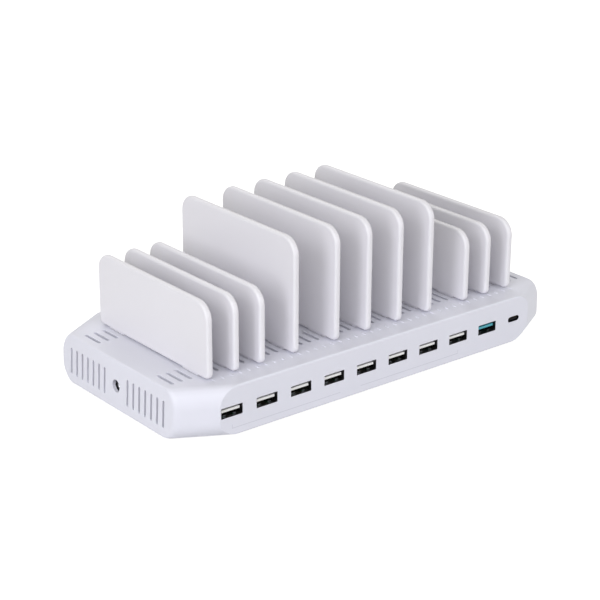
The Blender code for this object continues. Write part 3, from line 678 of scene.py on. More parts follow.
def soften(piece, width, segments=2):
    """Round every hard edge of a piece."""
    step = piece.modifiers.new("soften", "BEVEL")
    step.width = width
    step.segments = segments
    step.limit_method = "ANGLE"
    step.angle_limit = math.radians(BEVEL_ANGLE)
    return settle(piece)


def smooth(piece, angle=SMOOTH_ANGLE):
    """Shade a piece smooth below an angle, with its normals led by its large faces."""
    piece.data.shade_smooth()
    piece.data.set_sharp_from_angle(angle=math.radians(angle))
    step = piece.modifiers.new("smooth", "WEIGHTED_NORMAL")
    step.weight = NORMAL_WEIGHT
    step.keep_sharp = True
    return settle(piece)


def place_piece(piece, slot_name, material, *replaced, body="station"):
    """Dress a finished piece, let it ride on its body and stand for its nodes."""
    piece.data.materials.clear()
    piece.data.materials.append(material)
    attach(piece, body)
    if replaced:
        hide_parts(*replaced)


def skin(bm, rings, ends):
    """Skin rings of equally many points; ends are capped, or the last ring meets the first."""
    loops = [[bm.verts.new(point) for point in ring] for ring in rings]
    pairs = list(zip(loops, loops[1:]))
    if ends:
        bm.faces.new(list(reversed(loops[0])))
        bm.faces.new(loops[-1])
    else:
        pairs.append((loops[-1], loops[0]))
    count = len(loops[0])
    for first, second in pairs:
        for i in range(count):
            j = (i + 1) % count
            bm.faces.new((first[i], first[j], second[j], second[i]))


def skinned(name, *bodies, ends=True):
    """One object with a skin over each body's rings."""
    bm = bmesh.new()
    for rings in bodies:
        skin(bm, rings, ends)
    return make(name, bm)


def block(name, low, high, edge=0.0):
    """A box between two corners, whose edges may be rounded."""
    low = Vector(low)
    high = Vector(high)
    bm = bmesh.new()
    place = Matrix.Translation((low + high) / 2) @ Matrix.Diagonal((*(high - low), 1))
    bmesh.ops.create_cube(bm, size=1, matrix=place)
    piece = make(name, bm)
    return soften(piece, edge) if edge else piece


def bar(name, x, z, half_x, half_z, ends, edge=0.0):
    """A block round a middle in x and z, between two ends in y."""
    start, end = ends
    low = (x - half_x, start, z - half_z)
    return block(name, low, (x + half_x, end, z + half_z), edge)


def copy_moved(piece, name, offset):
    """A copy of a piece with its mesh moved by an offset."""
    mesh = piece.data.copy()
    mesh.transform(Matrix.Translation(offset))
    return put(name, mesh)


# Outlines in two directions u and v; those of slots and slabs are functions of their widening


def filleted(corners, radii, steps):
    """Points round a convex outline whose corners are rounded, anticlockwise."""
    points = []
    count = len(corners)
    for i, (corner, radius) in enumerate(zip(corners, radii)):
        corner = Vector(corner)
        before = (Vector(corners[i - 1]) - corner).normalized()
        after = (Vector(corners[(i + 1) % count]) - corner).normalized()
        half = before.angle(after) / 2
        centre = corner + (before + after).normalized() * (radius / math.sin(half))
        start = corner + before * (radius / math.tan(half)) - centre
        turn = math.pi - 2 * half
        for step in range(steps + 1):
            points.append(centre + Matrix.Rotation(turn * step / steps, 2) @ start)
    return points


def slab(width, height, radius):
    """A rectangle with rounded corners."""

    def outline(wider):
        u = (width + 2 * wider) / 2
        v = (height + 2 * wider) / 2
        return filleted([(u, -v), (u, v), (-u, v), (-u, -v)], [radius + wider] * 4, MOUTH_STEPS)

    return outline


def slot(length, width):
    """A slot with round ends, long along u."""

    def outline(wider):
        radius = (width + 2 * wider) / 2
        reach = (length + 2 * wider) / 2 - radius
        points = []
        for side in (1, -1):
            for i in range(SLOT_END_STEPS + 1):
                angle = math.pi * (i / SLOT_END_STEPS - 0.5)
                across = reach + radius * math.cos(angle)
                points.append(Vector((side * across, side * radius * math.sin(angle))))
        return points

    return outline


def ring(radius, sides=ROUND_SIDES):
    """Outline of a circle."""
    angles = [2 * math.pi * (i + 0.5) / sides for i in range(sides)]
    return [Vector((radius * math.cos(angle), radius * math.sin(angle))) for angle in angles]


def quarter_turn(steps):
    """Sines and cosines of even steps through a quarter turn."""
    angles = [QUARTER * step / steps for step in range(steps + 1)]
    return [(math.sin(angle), math.cos(angle)) for angle in angles]


def mouth(deep, flare):
    """Depths and widenings of a cutter that leaves a quarter-round edge at the surface."""
    sections = [(-deep, 0.0)]
    for sine, cosine in quarter_turn(MOUTH_STEPS):
        sections.append((TOUCH - flare * (1 - sine), flare * (1 - cosine)))
    sections.append((OVERRUN, flare))
    return sections


def lofted(name, outline, sections, place):
    """Skin an outline through (height, widening) sections; place turns u, v, height into a point."""
    rings = [[place(p.x, p.y, height) for p in outline(wider)] for height, wider in sections]
    return skinned(name, rings)


def on_deck(x, y):
    """Places on the deck, with u along Y."""
    return lambda u, v, w: (x + v, y + u, deck_z + w)


def on_front(x, z):
    """Places on the front panel, with u along X."""
    return lambda u, v, w: (x + u, -depth_half - w, z + v)


def end_face_x(height):
    """How far the drafted end faces stand from the middle at a height above the base."""
    return body_half + END_DRAFT * (1 - height / body_height)


def on_end(side, y, z):
    """Places on a drafted end face, with u up."""
    return lambda u, v, w: (side * (end_face_x(z + u - base_z) + w), y + v, z + u)


def inwards(x, z):
    """Places of a socket that opens towards -Y from its nose on, with u along X."""
    return lambda u, v, w: (x + u, nose_y + w, z + v)


def turned(name, centres, profile, axis="Z", sides=ROUND_SIDES, ends=True):
    """Bodies turned about an axis from (radius, along) pairs, one at each centre, as one object."""
    bodies = []
    for x, y, z in centres:
        rings = []
        for radius, along in profile:
            if axis == "X":
                rings.append([(x + along, y + p.x, z + p.y) for p in ring(radius, sides)])
            else:
                rings.append([(x + p.x, y + p.y, z + along) for p in ring(radius, sides)])
        bodies.append(rings)
    return skinned(name, *bodies, ends=ends)


def posts(name, places, z, profile, sides=ROUND_SIDES):
    """The same turned body at the x and y of several places, from one height on."""
    return turned(name, [(place.x, place.y, z) for place in places], profile, sides=sides)


def straight(radius, low, high):
    """Profile of a plain round post or bore."""
    return [(radius, low), (radius, high)]


def rounded_end(radius, end, round_size, facing=1):
    """Part of a turned profile: a rounded rim at an end, seen from the side to the flat."""
    points = []
    for sine, cosine in quarter_turn(ROUND_STEPS):
        drawn = round_size * (1 - cosine)
        points.append((radius - drawn, end - facing * round_size * (1 - sine)))
    return points


def rounded_start(radius, round_size):
    """Part of a turned profile: a rounded rim at its start, seen from the flat to the side."""
    return list(reversed(rounded_end(radius, 0.0, round_size, -1)))


def strip_ring(x, half, y, low, high):
    """Ring of a flat strip that lies across X."""
    return [(x - half, y, low), (x + half, y, low), (x + half, y, high), (x - half, y, high)]


# Trees for what repeats and for the divider plates


def row_tree():
    """Copies of a shape in a straight row; the first stays where the shape is."""
    tree = Shape("row_of_copies", shape="Object", count="Int", step="Vector", finish="Material")
    steps = {"Count": tree["count"], "Offset": tree["step"]}
    line = tree.add("GeometryNodeMeshLine", steps, mode="OFFSET")
    source = tree.add("GeometryNodeObjectInfo", {"Object": tree["shape"]}, output="Geometry")
    copies = tree.add("GeometryNodeInstanceOnPoints", {"Points": line, "Instance": source})
    tree.close(copies)
    return tree


def plate_tree():
    """An upright plate across X: an outline with large upper corners and rounded edges all round."""
    numbers = ("depth", "height", "thickness", "edge", "top_radius", "base_radius")
    inputs = {label: "Float" for label in numbers}
    tree = Shape(
        "upright_plate",
        **inputs,
        corner_steps="Int",
        edge_steps="Int",
        centre="Vector",
        finish="Material",
    )
    edge = tree["edge"]
    sizes = {"Width": tree["depth"] - edge * 2, "Height": tree["height"] - edge * 2}
    outline = tree.add("GeometryNodeCurvePrimitiveQuadrilateral", sizes, mode="RECTANGLE")
    place = tree.add("GeometryNodeInputPosition")
    across = tree.add("ShaderNodeSeparateXYZ", {0: place}, output="Y")
    base_radius = tree["base_radius"]
    corner = base_radius + (tree["top_radius"] - base_radius) * (across > 0.0) - edge
    fillet = {"Curve": outline, "Count": tree["corner_steps"], "Radius": corner}
    outline = tree.add("GeometryNodeFilletCurve", fillet, mode="POLY")
    outline = tree.add("GeometryNodeSetCurveNormal", {"Curve": outline}, mode="Z_UP")

    arc = {"Resolution": tree["edge_steps"] * 2, "Radius": edge}
    arc |= {"Start Angle": -QUARTER, "Sweep Angle": math.pi}
    profile = tree.add("GeometryNodeCurveArc", arc, mode="RADIUS")
    spread = across.maths("SIGN", across) * (tree["thickness"] / 2 - edge)
    spread = tree.add("ShaderNodeCombineXYZ", {"Y": spread})
    profile = tree.add("GeometryNodeSetPosition", {"Geometry": profile, "Offset": spread})
    rim = tree.add("GeometryNodeCurveToMesh", {"Curve": outline, "Profile Curve": profile})

    face = tree.add("GeometryNodeFillCurve", {"Curve": outline}, mode="NGONS")
    faces = []
    for side in (-1, 1):
        shift = tree.add("ShaderNodeCombineXYZ", {"Z": tree["thickness"] * (side / 2)})
        faces.append(tree.add("GeometryNodeTransform", {"Geometry": face, "Translation": shift}))
    whole = tree.add("GeometryNodeJoinGeometry", {"Geometry": [rim] + faces})
    whole = tree.add("GeometryNodeMergeByDistance", {"Geometry": whole, "Distance": TOUCH})
    stand = {"Geometry": whole, "Translation": tree["centre"], "Rotation": (QUARTER, 0.0, QUARTER)}
    tree.close(tree.add("GeometryNodeTransform", stand))
    return tree


rows = row_tree()
plates = plate_tree()


def row(name, shape, count, step, finish=None):
    """A row of copies of a shape, which is removed, as one plain mesh."""
    piece = rows.grow(name, shape=shape, count=count, step=step, finish=finish)
    bpy.data.objects.remove(shape)
    return piece


def at_sockets(name, shape, finish=None):
    """A copy of the first large socket's shape at every large socket."""
    return row(name, shape, len(socket_places), (socket_pitch, 0, 0), finish)


# Housing


def corner_swell(height, above, below):
    """Swell of a corner facet at a height above the base: none at the edges, 1 in the middle."""
    reach = max(height - (body_height - TOP_ARC), 0) / TOP_ARC
    fullness = above
    if height < BOTTOM_ARC:
        reach = (BOTTOM_ARC - height) / BOTTOM_ARC
        fullness = below
    return max(1 - reach**fullness, 0) ** (1 / fullness)


def edge_inset(height):
    """How far the small edge rounding draws the skin in at a height above the base."""
    drop = EDGE_ROUND - min(height, body_height - height, EDGE_ROUND)
    return EDGE_ROUND - math.sqrt(EDGE_ROUND * EDGE_ROUND - drop * drop)


def body_ring(height, inset, swell_height=None):
    """Ring of the eight-sided body at a height, drawn in; its swell may be that of another height."""
    side_x = end_face_x(height) - inset
    side_y = depth_half - inset
    level = height if swell_height is None else swell_height
    corners = []
    for x_side, y_side, above, below, shift, more in CORNERS:
        swell = corner_swell(level, above, below)
        along = CORNER_CUT_X + shift - CORNER_SWELL_X * swell
        across = CORNER_CUT_Y - (CORNER_SWELL_Y + more) * swell
        diagonal = math.hypot(along, across)
        normal_x = across / diagonal
        normal_y = along / diagonal
        reach = normal_x * body_half + normal_y * (depth_half - across) - inset
        corner_y = (reach - normal_x * side_x) / normal_y
        corner_x = (reach - normal_y * side_y) / normal_x
        pair = [(x_side * side_x, y_side * corner_y), (x_side * corner_x, y_side * side_y)]
        corners += pair if x_side == y_side else list(reversed(pair))
    creases = [END_CREASE, FRONT_CREASE, FRONT_CREASE, END_CREASE] * 2
    outline = filleted(corners, creases, CREASE_STEPS)
    return [(p.x, p.y, base_z + height) for p in outline]


def ring_heights():
    """Heights above the base of the rings of the skin, close together where it curves."""
    arcs = [1 - sine for sine, _ in quarter_turn(ARC_STEPS)[:-1]]
    heights = [BOTTOM_ARC * arc for arc in arcs] + [body_height - TOP_ARC * arc for arc in arcs]
    edges = [EDGE_ROUND * (1 - cosine) for _, cosine in quarter_turn(EDGE_STEPS)]
    return sorted(set(heights + edges + [body_height - edge for edge in edges]))


def slit_cutters():
    """Cutters of both lines of slits in the deck."""
    first_x = -slit_pitch * (SLIT_ROWS - 1) / 2
    outline = slot(SLIT_LENGTH, SLIT_WIDTH)
    sections = mouth(WALL + OVERRUN, SLIT_MOUTH)
    cutters = []
    for y in (slit_front_y, slit_rear_y):
        shape = lofted("shape", outline, sections, on_deck(first_x, y + SLIT_LENGTH / 2))
        cutters.append(row("slits", shape, SLIT_ROWS, (slit_pitch, 0, 0)))
    return cutters


def vent_cutters():
    """Cutters of the vents in both end faces."""
    z = base_z + VENT_BOTTOM_ABOVE_BASE + VENT_HEIGHT / 2
    outline = slot(VENT_HEIGHT, VENT_WIDTH)
    sections = mouth(WALL + OVERRUN, VENT_MOUTH)
    cutters = []
    for side in (-1, 1):
        for half in (-1, 1):
            place = on_end(side, half * vent_pitch * VENT_SKIP, z)
            shape = lofted("shape", outline, sections, place)
            cutters.append(row("vents", shape, VENT_COUNT, (0, half * vent_pitch, 0)))
    return cutters


def port_cutters(sections, large, small):
    """Cutters at the large sockets and at the small one, with these outlines."""
    shape = lofted("shape", large, sections, on_front(first_socket.x, first_socket.z))
    others = lofted("other", small, sections, on_front(small_centre.x, small_centre.z))
    return [at_sockets("ports", shape), others]


def window_cutters():
    """Cutters of the ten windows in the front panel and of the inlet hole."""
    large = slab(WINDOW_WIDTH, WINDOW_HEIGHT, WINDOW_CORNER)
    small = slot(SMALL_WINDOW_WIDTH, SMALL_WINDOW_HEIGHT)
    windows = port_cutters(mouth(PORT_WALL + CLEARANCE, WINDOW_MOUTH), large, small)
    hole = lambda wider: ring(INLET_HOLE_RADIUS + wider)
    sections = mouth(WALL + OVERRUN, INLET_MOUTH)
    return windows + [lofted("inlet_hole", hole, sections, on_end(-1, 0, inlet_z))]


def rebate_cutters():
    """Cutters of the rebates behind the windows, which take the noses of the socket shells."""
    gap = 2 * REBATE_GAP
    width = socket_high.x - socket_low.x + gap
    large = slab(width, socket_high.z - socket_low.z + gap, SHEET + SHEET_CORNER)
    small = slot(small_high.x - small_low.x + gap, small_high.z - small_low.z + gap)
    return port_cutters([(-PORT_WALL - CLEARANCE, 0.0), (-WINDOW_LIP, 0.0)], large, small)


def housing():
    """Deck, walls and screw bosses."""
    heights = ring_heights()
    outer = [body_ring(height, edge_inset(height)) for height in heights]
    ceiling = body_height - WALL
    inner_heights = [height for height in heights if height < ceiling] + [ceiling]
    inner = [body_ring(height, WALL) for height in inner_heights]
    piece = skinned("housing", list(reversed(outer)) + inner)

    boss_z = bottom_of_standoffs + COVER_RING_HEIGHT + CLEARANCE
    profile = straight(BOSS_RADIUS, 0, deck_z - WALL / 2 - boss_z)
    combine(piece, posts("bosses", cover_screw_places, boss_z, profile), "UNION")

    z = first_socket.z
    half_height = (socket_high.z - socket_low.z) / 2 + CLEARANCE
    low = (socket_low.x - CLEARANCE, -depth_half + PORT_WALL, z - half_height)
    high = (small_high.x + CLEARANCE, -depth_half + WALL + OVERRUN, z + half_height)
    combine(piece, block("pocket", low, high))
    combine(piece, joined("rebates", rebate_cutters()))

    profile = straight(SCREW_BORE, -OVERRUN, BOSS_BORE_DEPTH)
    bores = posts("bores", cover_screw_places, boss_z, profile)
    cutters = slit_cutters() + vent_cutters() + window_cutters() + [bores]
    combine(piece, joined("cutters", cutters))
    place_piece(smooth(piece), "white_housing", white_moulding, "top_housing")


def deck_marks():
    """One small raised dash in front of each row of slits between the outer plates."""
    first = middle("divider_1").x
    last = middle(nodes_named("divider")[-1]).x
    count = round((last - first) / slit_pitch) + 1
    half = MARK_RISE / 2
    sections = [(-half / 2, 0.0), (half, 0.0)]
    for sine, cosine in quarter_turn(MOUTH_STEPS)[1:]:
        sections.append((half * (1 + sine), -half * (1 - cosine)))
    place = on_deck(first + MARK_SIDE_SHIFT, -depth_half + MARK_FRONT_INSET)
    shape = lofted("shape", slot(MARK_LENGTH, MARK_WIDTH), sections, place)
    piece = row("deck_marks", shape, count, (slit_pitch, 0, 0), white_moulding)
    place_piece(smooth(piece), "white_housing", white_moulding)


# Cover, feet and screws


def base_cover():
    """Plate with standoffs for the board, screw rings and recesses for the feet."""
    inset = WALL + CLEARANCE
    third = COVER_EDGE / 3
    lower = [(0.0, inset + COVER_EDGE), (third, inset + third), (COVER_EDGE, inset)]
    upper = [(COVER_THICKNESS - height, drawn) for height, drawn in reversed(lower)]
    piece = skinned("base_cover", [body_ring(height, drawn, 0.0) for height, drawn in lower + upper])

    half = COVER_THICKNESS / 2
    root = bottom_of_standoffs - half
    standoff_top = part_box("main_board")[0].z - CLEARANCE
    profile = straight(STANDOFF_RADIUS, 0, standoff_top - root)
    raised = [posts("standoffs", board_screw_places, root, profile)]
    profile = straight(COVER_RING_RADIUS, 0, half + COVER_RING_HEIGHT)
    raised.append(posts("screw_rings", cover_screw_places, root, profile))
    combine(piece, joined("raised", raised), "UNION")

    counterbore = half + CLEARANCE * 3
    wide = half_width("cover_screw_1") + CLEARANCE
    head_hole = [
        (wide + COVER_EDGE, -OVERRUN),
        (wide + COVER_EDGE, -TOUCH),
        (wide, COVER_EDGE),
        (wide, counterbore),
        (SCREW_BORE, counterbore),
        (SCREW_BORE, COVER_THICKNESS + COVER_RING_HEIGHT + OVERRUN),
    ]
    bore = straight(SCREW_BORE, bottom_of_standoffs, standoff_top + OVERRUN)
    recess = straight(half_width("foot_1") + CLEARANCE, -OVERRUN, FOOT_RECESS)
    cutters = [
        posts("bores", board_screw_places, 0, bore),
        posts("head_holes", cover_screw_places, base_z, head_hole),
        posts("recesses", middles("foot"), base_z, recess),
    ]
    combine(piece, joined("cover_cutters", cutters))
    place_piece(smooth(piece), "white_cover", cover_moulding, "bottom_cover")


def feet():
    """Four rubber pads with a rounded rim and a shallow dimple underneath."""
    for number, name, low, high, place in numbered("foot"):
        radius = half_width(name)
        dimple = radius / 2
        profile = [(dimple * DIMPLE_FLOOR_SHARE, FOOT_DIMPLE), (dimple, 0.0)]
        profile += rounded_start(radius, FOOT_ROUND) + [(radius, high.z)]
        piece = posts("rubber_pad_" + number, [place], low.z, profile, FINE_SIDES)
        place_piece(smooth(piece), "grey_rubber", pad_rubber, name)


def thread_ring(place, z):
    """Ring of a screw shank whose radius follows a single-start thread."""
    points = []
    for i in range(SCREW_SIDES):
        share = i / SCREW_SIDES
        phase = (z / THREAD_PITCH - share) % 1
        radius = SCREW_RADIUS - THREAD_DEPTH * abs(2 * phase - 1)
        angle = 2 * math.pi * share
        points.append((place.x + radius * math.cos(angle), place.y + radius * math.sin(angle), z))
    return points


def screws(kind, head_height, head_at_top):
    """Pan head screws of the cover or the board, with a six-sided recess and a real thread."""
    for number, node, low, high, place in numbered(kind + "_screw"):
        face, end, away = (high.z, low.z, -1) if head_at_top else (low.z, high.z, 1)
        radius = half_width(node)
        rings = []
        for wide, along in rounded_start(radius, HEAD_ROUND) + [(radius, head_height)]:
            z = face + away * along
            rings.append([(place.x + p.x, place.y + p.y, z) for p in ring(wide, SCREW_SIDES)])
        start = face + away * head_height
        levels = round(abs(end - start) / THREAD_PITCH * THREAD_LEVELS)
        for level in range(levels + 1):
            rings.append(thread_ring(place, start + (end - start) * level / levels))
        piece = skinned(kind + "_bolt_" + number, rings)
        recess = straight(DRIVE_RADIUS, -OVERRUN, DRIVE_DEPTH * DRIVE_WALL_SHARE)
        recess.append((DRIVE_RADIUS / 2, DRIVE_DEPTH))
        recess = [(wide, away * along) for wide, along in recess]
        combine(piece, posts("recess", [place], face, recess, DRIVE_SIDES))
        place_piece(smooth(piece), "screw_steel", screw_zinc, node)


# Sockets


def sheet_tube(name, outline, length, place):
    """Tube of thin sheet with softened rims; outline(0) is its inner face."""
    rings = []
    for along, wider in (
        (0.0, SHEET_EDGE),
        (0.0, SHEET - SHEET_EDGE),
        (SHEET_EDGE, SHEET),
        (length - SHEET_EDGE, SHEET),
        (length, SHEET - SHEET_EDGE),
        (length, SHEET_EDGE),
        (length - SHEET_EDGE, 0.0),
        (SHEET_EDGE, 0.0),
    ):
        rings.append([place(p.x, p.y, along) for p in outline(wider)])
    return skinned(name, rings, ends=False)


def leaf_rings(x, wall_z, side):
    """Rings of a spring leaf that bends from the wall into the socket and back."""
    rings = []
    for step in range(LEAF_STEPS + 1):
        share = step / LEAF_STEPS
        y = nose_y + LEAF_END + SHEET + (LEAF_START - LEAF_END - SHEET) * share
        lift = side * LEAF_RISE * math.sin(QUARTER * share / LEAF_PEAK_SHARE) ** 2
        low = wall_z + lift - side * (SHEET + LEAF_SHEET) / 2
        rings.append(strip_ring(x, LEAF_WIDTH / 2, y, low, low + side * LEAF_SHEET))
    return rings


def first_socket_shell():
    """Sheet metal shell of the first large socket, with two spring leaves above and below."""
    width = socket_high.x - socket_low.x - 2 * SHEET
    height = socket_high.z - socket_low.z - 2 * SHEET
    outline = slab(width, height, SHEET_CORNER)
    place = inwards(first_socket.x, first_socket.z)
    piece = sheet_tube("first_shell", outline, socket_high.y - nose_y, place)
    half = LEAF_WIDTH / 2 + LEAF_SLOT_GAP
    ends = (nose_y + LEAF_START - LEAF_SLOT_GAP, nose_y + LEAF_END)
    slots = []
    leaves = []
    for side in (-1, 1):
        wall_z = first_socket.z + side * height / 2
        for across in (-1, 1):
            x = first_socket.x + across * LEAF_SIDE_SHIFT
            slots.append(bar("leaf_slot", x, wall_z, half, 2 * SHEET, ends))
            leaves.append(leaf_rings(x, wall_z, -side))
    combine(piece, joined("leaf_slots", slots))
    combine(piece, skinned("leaves", *leaves), "UNION")
    return smooth(piece)


def first_socket_tongue():
    """Tongue of the first large socket with the block that closes its rear."""
    tip_y = nose_y + TONGUE_RECESS
    block_y = socket_high.y - BLOCK_LENGTH
    root_y = block_y + CLEARANCE
    profile = [
        (tip_y, tongue_top),
        (tip_y, tongue_under + TONGUE_NOSE_RISE),
        (tip_y + TONGUE_NOSE, tongue_under),
        (root_y, tongue_under),
        (root_y, tongue_top),
    ]
    x, _, z = first_socket
    sides = (x - TONGUE_WIDTH / 2, x + TONGUE_WIDTH / 2)
    piece = skinned("first_tongue", [[(side_x, *point) for point in profile] for side_x in sides])
    soften(piece, TONGUE_BEVEL)
    half_x = (socket_high.x - socket_low.x) / 2 - SHEET - CLEARANCE
    half_z = (socket_high.z - socket_low.z) / 2 - SHEET - CLEARANCE
    ends = (block_y, socket_high.y)
    combine(piece, bar("block", x, z, half_x, half_z, ends, TONGUE_BEVEL), "UNION")
    return smooth(piece)


def large_sockets():
    """Shells and tongues of the large sockets; the last tongue is teal."""
    shell = first_socket_shell()
    tongue = first_socket_tongue()
    for number, place in enumerate(socket_places, 1):
        offset = (place.x - first_socket.x, 0, 0)
        piece = copy_moved(shell, "socket_shell_" + str(number), offset)
        # The shell's steel is painted dark as painted shade inside the socket
        place_piece(piece, "socket_steel", shell_sheet, "usb_a_shell_" + str(number))
        piece = copy_moved(tongue, "socket_tongue_" + str(number), offset)
        finish = ("white_insulator", white_tongue)
        if number == len(socket_places):
            finish = ("teal_insulator", teal_tongue)
        place_piece(piece, *finish, "usb_a_tongue_" + str(number))
    bpy.data.objects.remove(shell)
    bpy.data.objects.remove(tongue)


def socket_contacts():
    """Four bowed strips under each large tongue."""
    start = nose_y + TONGUE_RECESS + STRIP_INSET
    end = socket_high.y - BLOCK_LENGTH + CLEARANCE
    strips = []
    for shift in STRIP_SIDE_SHIFTS:
        rings = []
        for step in range(LEAF_STEPS + 1):
            share = step / LEAF_STEPS
            y = start + (end - start) * share
            bulge = STRIP_BULGE * math.sin(math.pi * share) ** 2
            high = tongue_under + STRIP_THICKNESS / 4 - bulge
            x = first_socket.x + shift
            rings.append(strip_ring(x, STRIP_WIDTH / 2, y, high - STRIP_THICKNESS, high))
        strips.append(rings)
    piece = at_sockets("socket_contacts", skinned("shape", *strips), contact_gold)
    place_piece(smooth(piece), "socket_steel", contact_gold)


def small_socket():
    """Shell, tongue, contacts and carrier of the small socket."""
    width = small_high.x - small_low.x - 2 * SHEET
    height = small_high.z - small_low.z - 2 * SHEET
    length = small_high.y - nose_y
    x, _, z = small_centre
    place = inwards(x, z)
    shell = sheet_tube("small_socket_shell", slot(width, height), length, place)
    # The small shell's near-black steel is painted shade
    place_piece(smooth(shell), "socket_steel", dark_sheet, "usb_c_shell")

    tip_y = nose_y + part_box("usb_c_tongue")[0].y - small_low.y
    half_x = SMALL_TONGUE_WIDTH / 2
    half_z = SMALL_TONGUE_THICKNESS / 2
    outline = slot(width - 2 * CLEARANCE, height - 2 * CLEARANCE)
    block_start = length - BLOCK_LENGTH
    tongue = lofted("small_socket_tongue", outline, [(block_start, 0), (length, 0)], place)
    ends = (tip_y, nose_y + block_start + CLEARANCE)
    combine(tongue, bar("blade", x, z, half_x, half_z, ends, TONGUE_BEVEL), "UNION")
    # The small tongue's near-black is partly painted shade
    place_piece(smooth(tongue), "black_plastic", black_tongue, "usb_c_tongue")

    half = SMALL_STRIP_WIDTH / 2
    first_x = x - SMALL_STRIP_PITCH * (SMALL_STRIPS - 1) / 2
    y = tip_y + STRIP_INSET / 2
    ends = (y, y + SMALL_STRIP_LENGTH)
    pair = []
    for side in (-1, 1):
        level = z + side * half_z
        pair.append(bar("strip", first_x, level, half, SMALL_STRIP_THICKNESS, ends))
    shape = joined("shape", pair)
    step = (SMALL_STRIP_PITCH, 0, 0)
    strips = row("small_socket_contacts", shape, SMALL_STRIPS, step, contact_gold)
    soften(strips, SMALL_STRIP_THICKNESS / 2, segments=1)
    place_piece(strips, "socket_steel", contact_gold)

    stand = block("small_socket_stand", *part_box("usb_c_base"), BOARD_BEVEL)
    place_piece(smooth(stand), "black_plastic", black_moulding, "usb_c_base")


def power_inlet():
    """Inlet body with side wings, a steel sleeve in its bore and the centre pin."""
    half = (inlet_high.y - inlet_low.y) / 2 - INLET_WING_REACH
    start = inlet_low.x
    end = inlet_high.x
    corners = ((start, -half, inlet_low.z), (end, half, inlet_high.z))
    body = block("inlet_body", *corners, INLET_BEVEL)
    wing_z = board_top + CLEARANCE
    low = (end - INLET_WING_LENGTH, inlet_low.y, wing_z)
    high = (end - CLEARANCE, inlet_high.y, wing_z + INLET_WING_THICKNESS)
    combine(body, block("wings", low, high, TONGUE_BEVEL), "UNION")
    half_bevel = INLET_BEVEL / 2
    bore = straight(INLET_BORE_RADIUS + half_bevel, -OVERRUN, -TOUCH)
    bore += straight(INLET_BORE_RADIUS, half_bevel, INLET_BORE_DEPTH)
    bore += straight(INLET_PIN_SEAT, INLET_BORE_DEPTH, end - start + OVERRUN)
    settings = {"axis": "X", "sides": FINE_SIDES}
    centres = [(start, 0, inlet_z)]
    combine(body, turned("bore", centres, bore, **settings))
    place_piece(smooth(body), "black_plastic", black_moulding, "dc_jack")

    outer = INLET_BORE_RADIUS - TOUCH
    inner = outer - INLET_SLEEVE_WALL
    edge = INLET_SLEEVE_WALL / 3
    depth = INLET_BORE_DEPTH - CLEARANCE
    profile = [(inner + edge, INLET_SLEEVE_RECESS)]
    profile += straight(outer, INLET_SLEEVE_RECESS + edge, depth)
    profile += straight(inner, depth, INLET_SLEEVE_RECESS + edge)
    sleeve = turned("inlet_sleeve", centres, profile, ends=False, **settings)
    place_piece(smooth(sleeve), "socket_steel", inlet_steel)

    low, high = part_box("dc_jack_pin")
    radius = (high.y - low.y) / 2
    profile = rounded_start(radius, radius * INLET_PIN_ROUND_SHARE)
    profile.append((radius, high.x - low.x))
    pin = turned("inlet_pin", [(low.x, 0, inlet_z)], profile, axis="X")
    place_piece(smooth(pin), "socket_steel", inlet_steel, "dc_jack_pin")


# Parts on the board


def inductors():
    """Moulded inductors with cut corners and rounded edges."""
    for number, name, low, high, place in numbered("power_inductor"):
        half = half_width(name)
        inner = half - INDUCTOR_CORNER
        outline = [(half, -inner), (half, inner), (inner, half), (-inner, half)]
        outline += [(-x, -y) for x, y in outline]
        rings = [[(place.x + x, place.y + y, z) for x, y in outline] for z in (low.z, high.z)]
        piece = skinned("inductor_block_" + number, rings)
        soften(piece, BOARD_BEVEL * 2, segments=3)
        place_piece(smooth(piece), "dark_ferrite", pressed_powder, name)


def chips():
    """Control chips with a pin mark, and gull-wing legs on two sides."""
    legs = []
    for number, name, low, high, _ in numbered("control_chip"):
        piece = block("chip_block_" + number, low, high, BOARD_BEVEL / 2)
        centres = [(low.x + LEG_REACH, high.y - LEG_REACH, high.z - CHIP_DOT_DEPTH)]
        dot = turned("dot", centres, straight(CHIP_DOT_RADIUS, 0, OVERRUN), sides=CHIP_DOT_SIDES)
        combine(piece, dot)
        place_piece(smooth(piece), "black_plastic", black_moulding, name)

        pitch = (high.x - low.x) / LEG_COUNT
        middle_z = (low.z + high.z) / 2
        foot_z = low.z - CLEARANCE + LEG_THICKNESS * 2
        half = LEG_THICKNESS / 2
        for side, edge_y in ((-1, low.y), (1, high.y)):
            rings = []
            for share, z in zip(LEG_SHARES, (middle_z, middle_z, foot_z, foot_z)):
                y = edge_y + side * LEG_REACH * share
                rings.append(strip_ring(low.x + pitch / 2, LEG_WIDTH / 2, y, z - half, z + half))
            legs.append(row("legs", skinned("shape", rings), LEG_COUNT, (pitch, 0, 0), tin_solder))
    place_piece(joined("chip_legs", legs), "can_aluminium", tin_solder)


def capacitors():
    """Round cans with a crimp near the seal and a rounded top."""
    for number, name, low, high, place in numbered("filter_capacitor"):
        radius = half_width(name)
        height = high.z - low.z
        profile = [(radius - CAN_ROUND, 0), (radius, CAN_ROUND / 2), (radius, CAN_SEAL_HEIGHT)]
        for step in range(CAN_CRIMP_STEPS + 1):
            share = step / CAN_CRIMP_STEPS
            along = CAN_SEAL_HEIGHT + (CAN_CRIMP_HEIGHT - CAN_SEAL_HEIGHT) * share
            profile.append((radius - CAN_CRIMP * math.sin(math.pi * share), along))
        profile += rounded_end(radius, height, CAN_ROUND)
        for drop, share in enumerate(CAN_TOP_SHARES):
            profile.append((radius * share, height - drop * CAN_ROUND / 4))
        piece = posts("capacitor_can_" + number, [place], low.z, profile, FINE_SIDES)
        place_piece(smooth(piece, CAN_SMOOTH_ANGLE), "can_aluminium", can_sleeve, name)


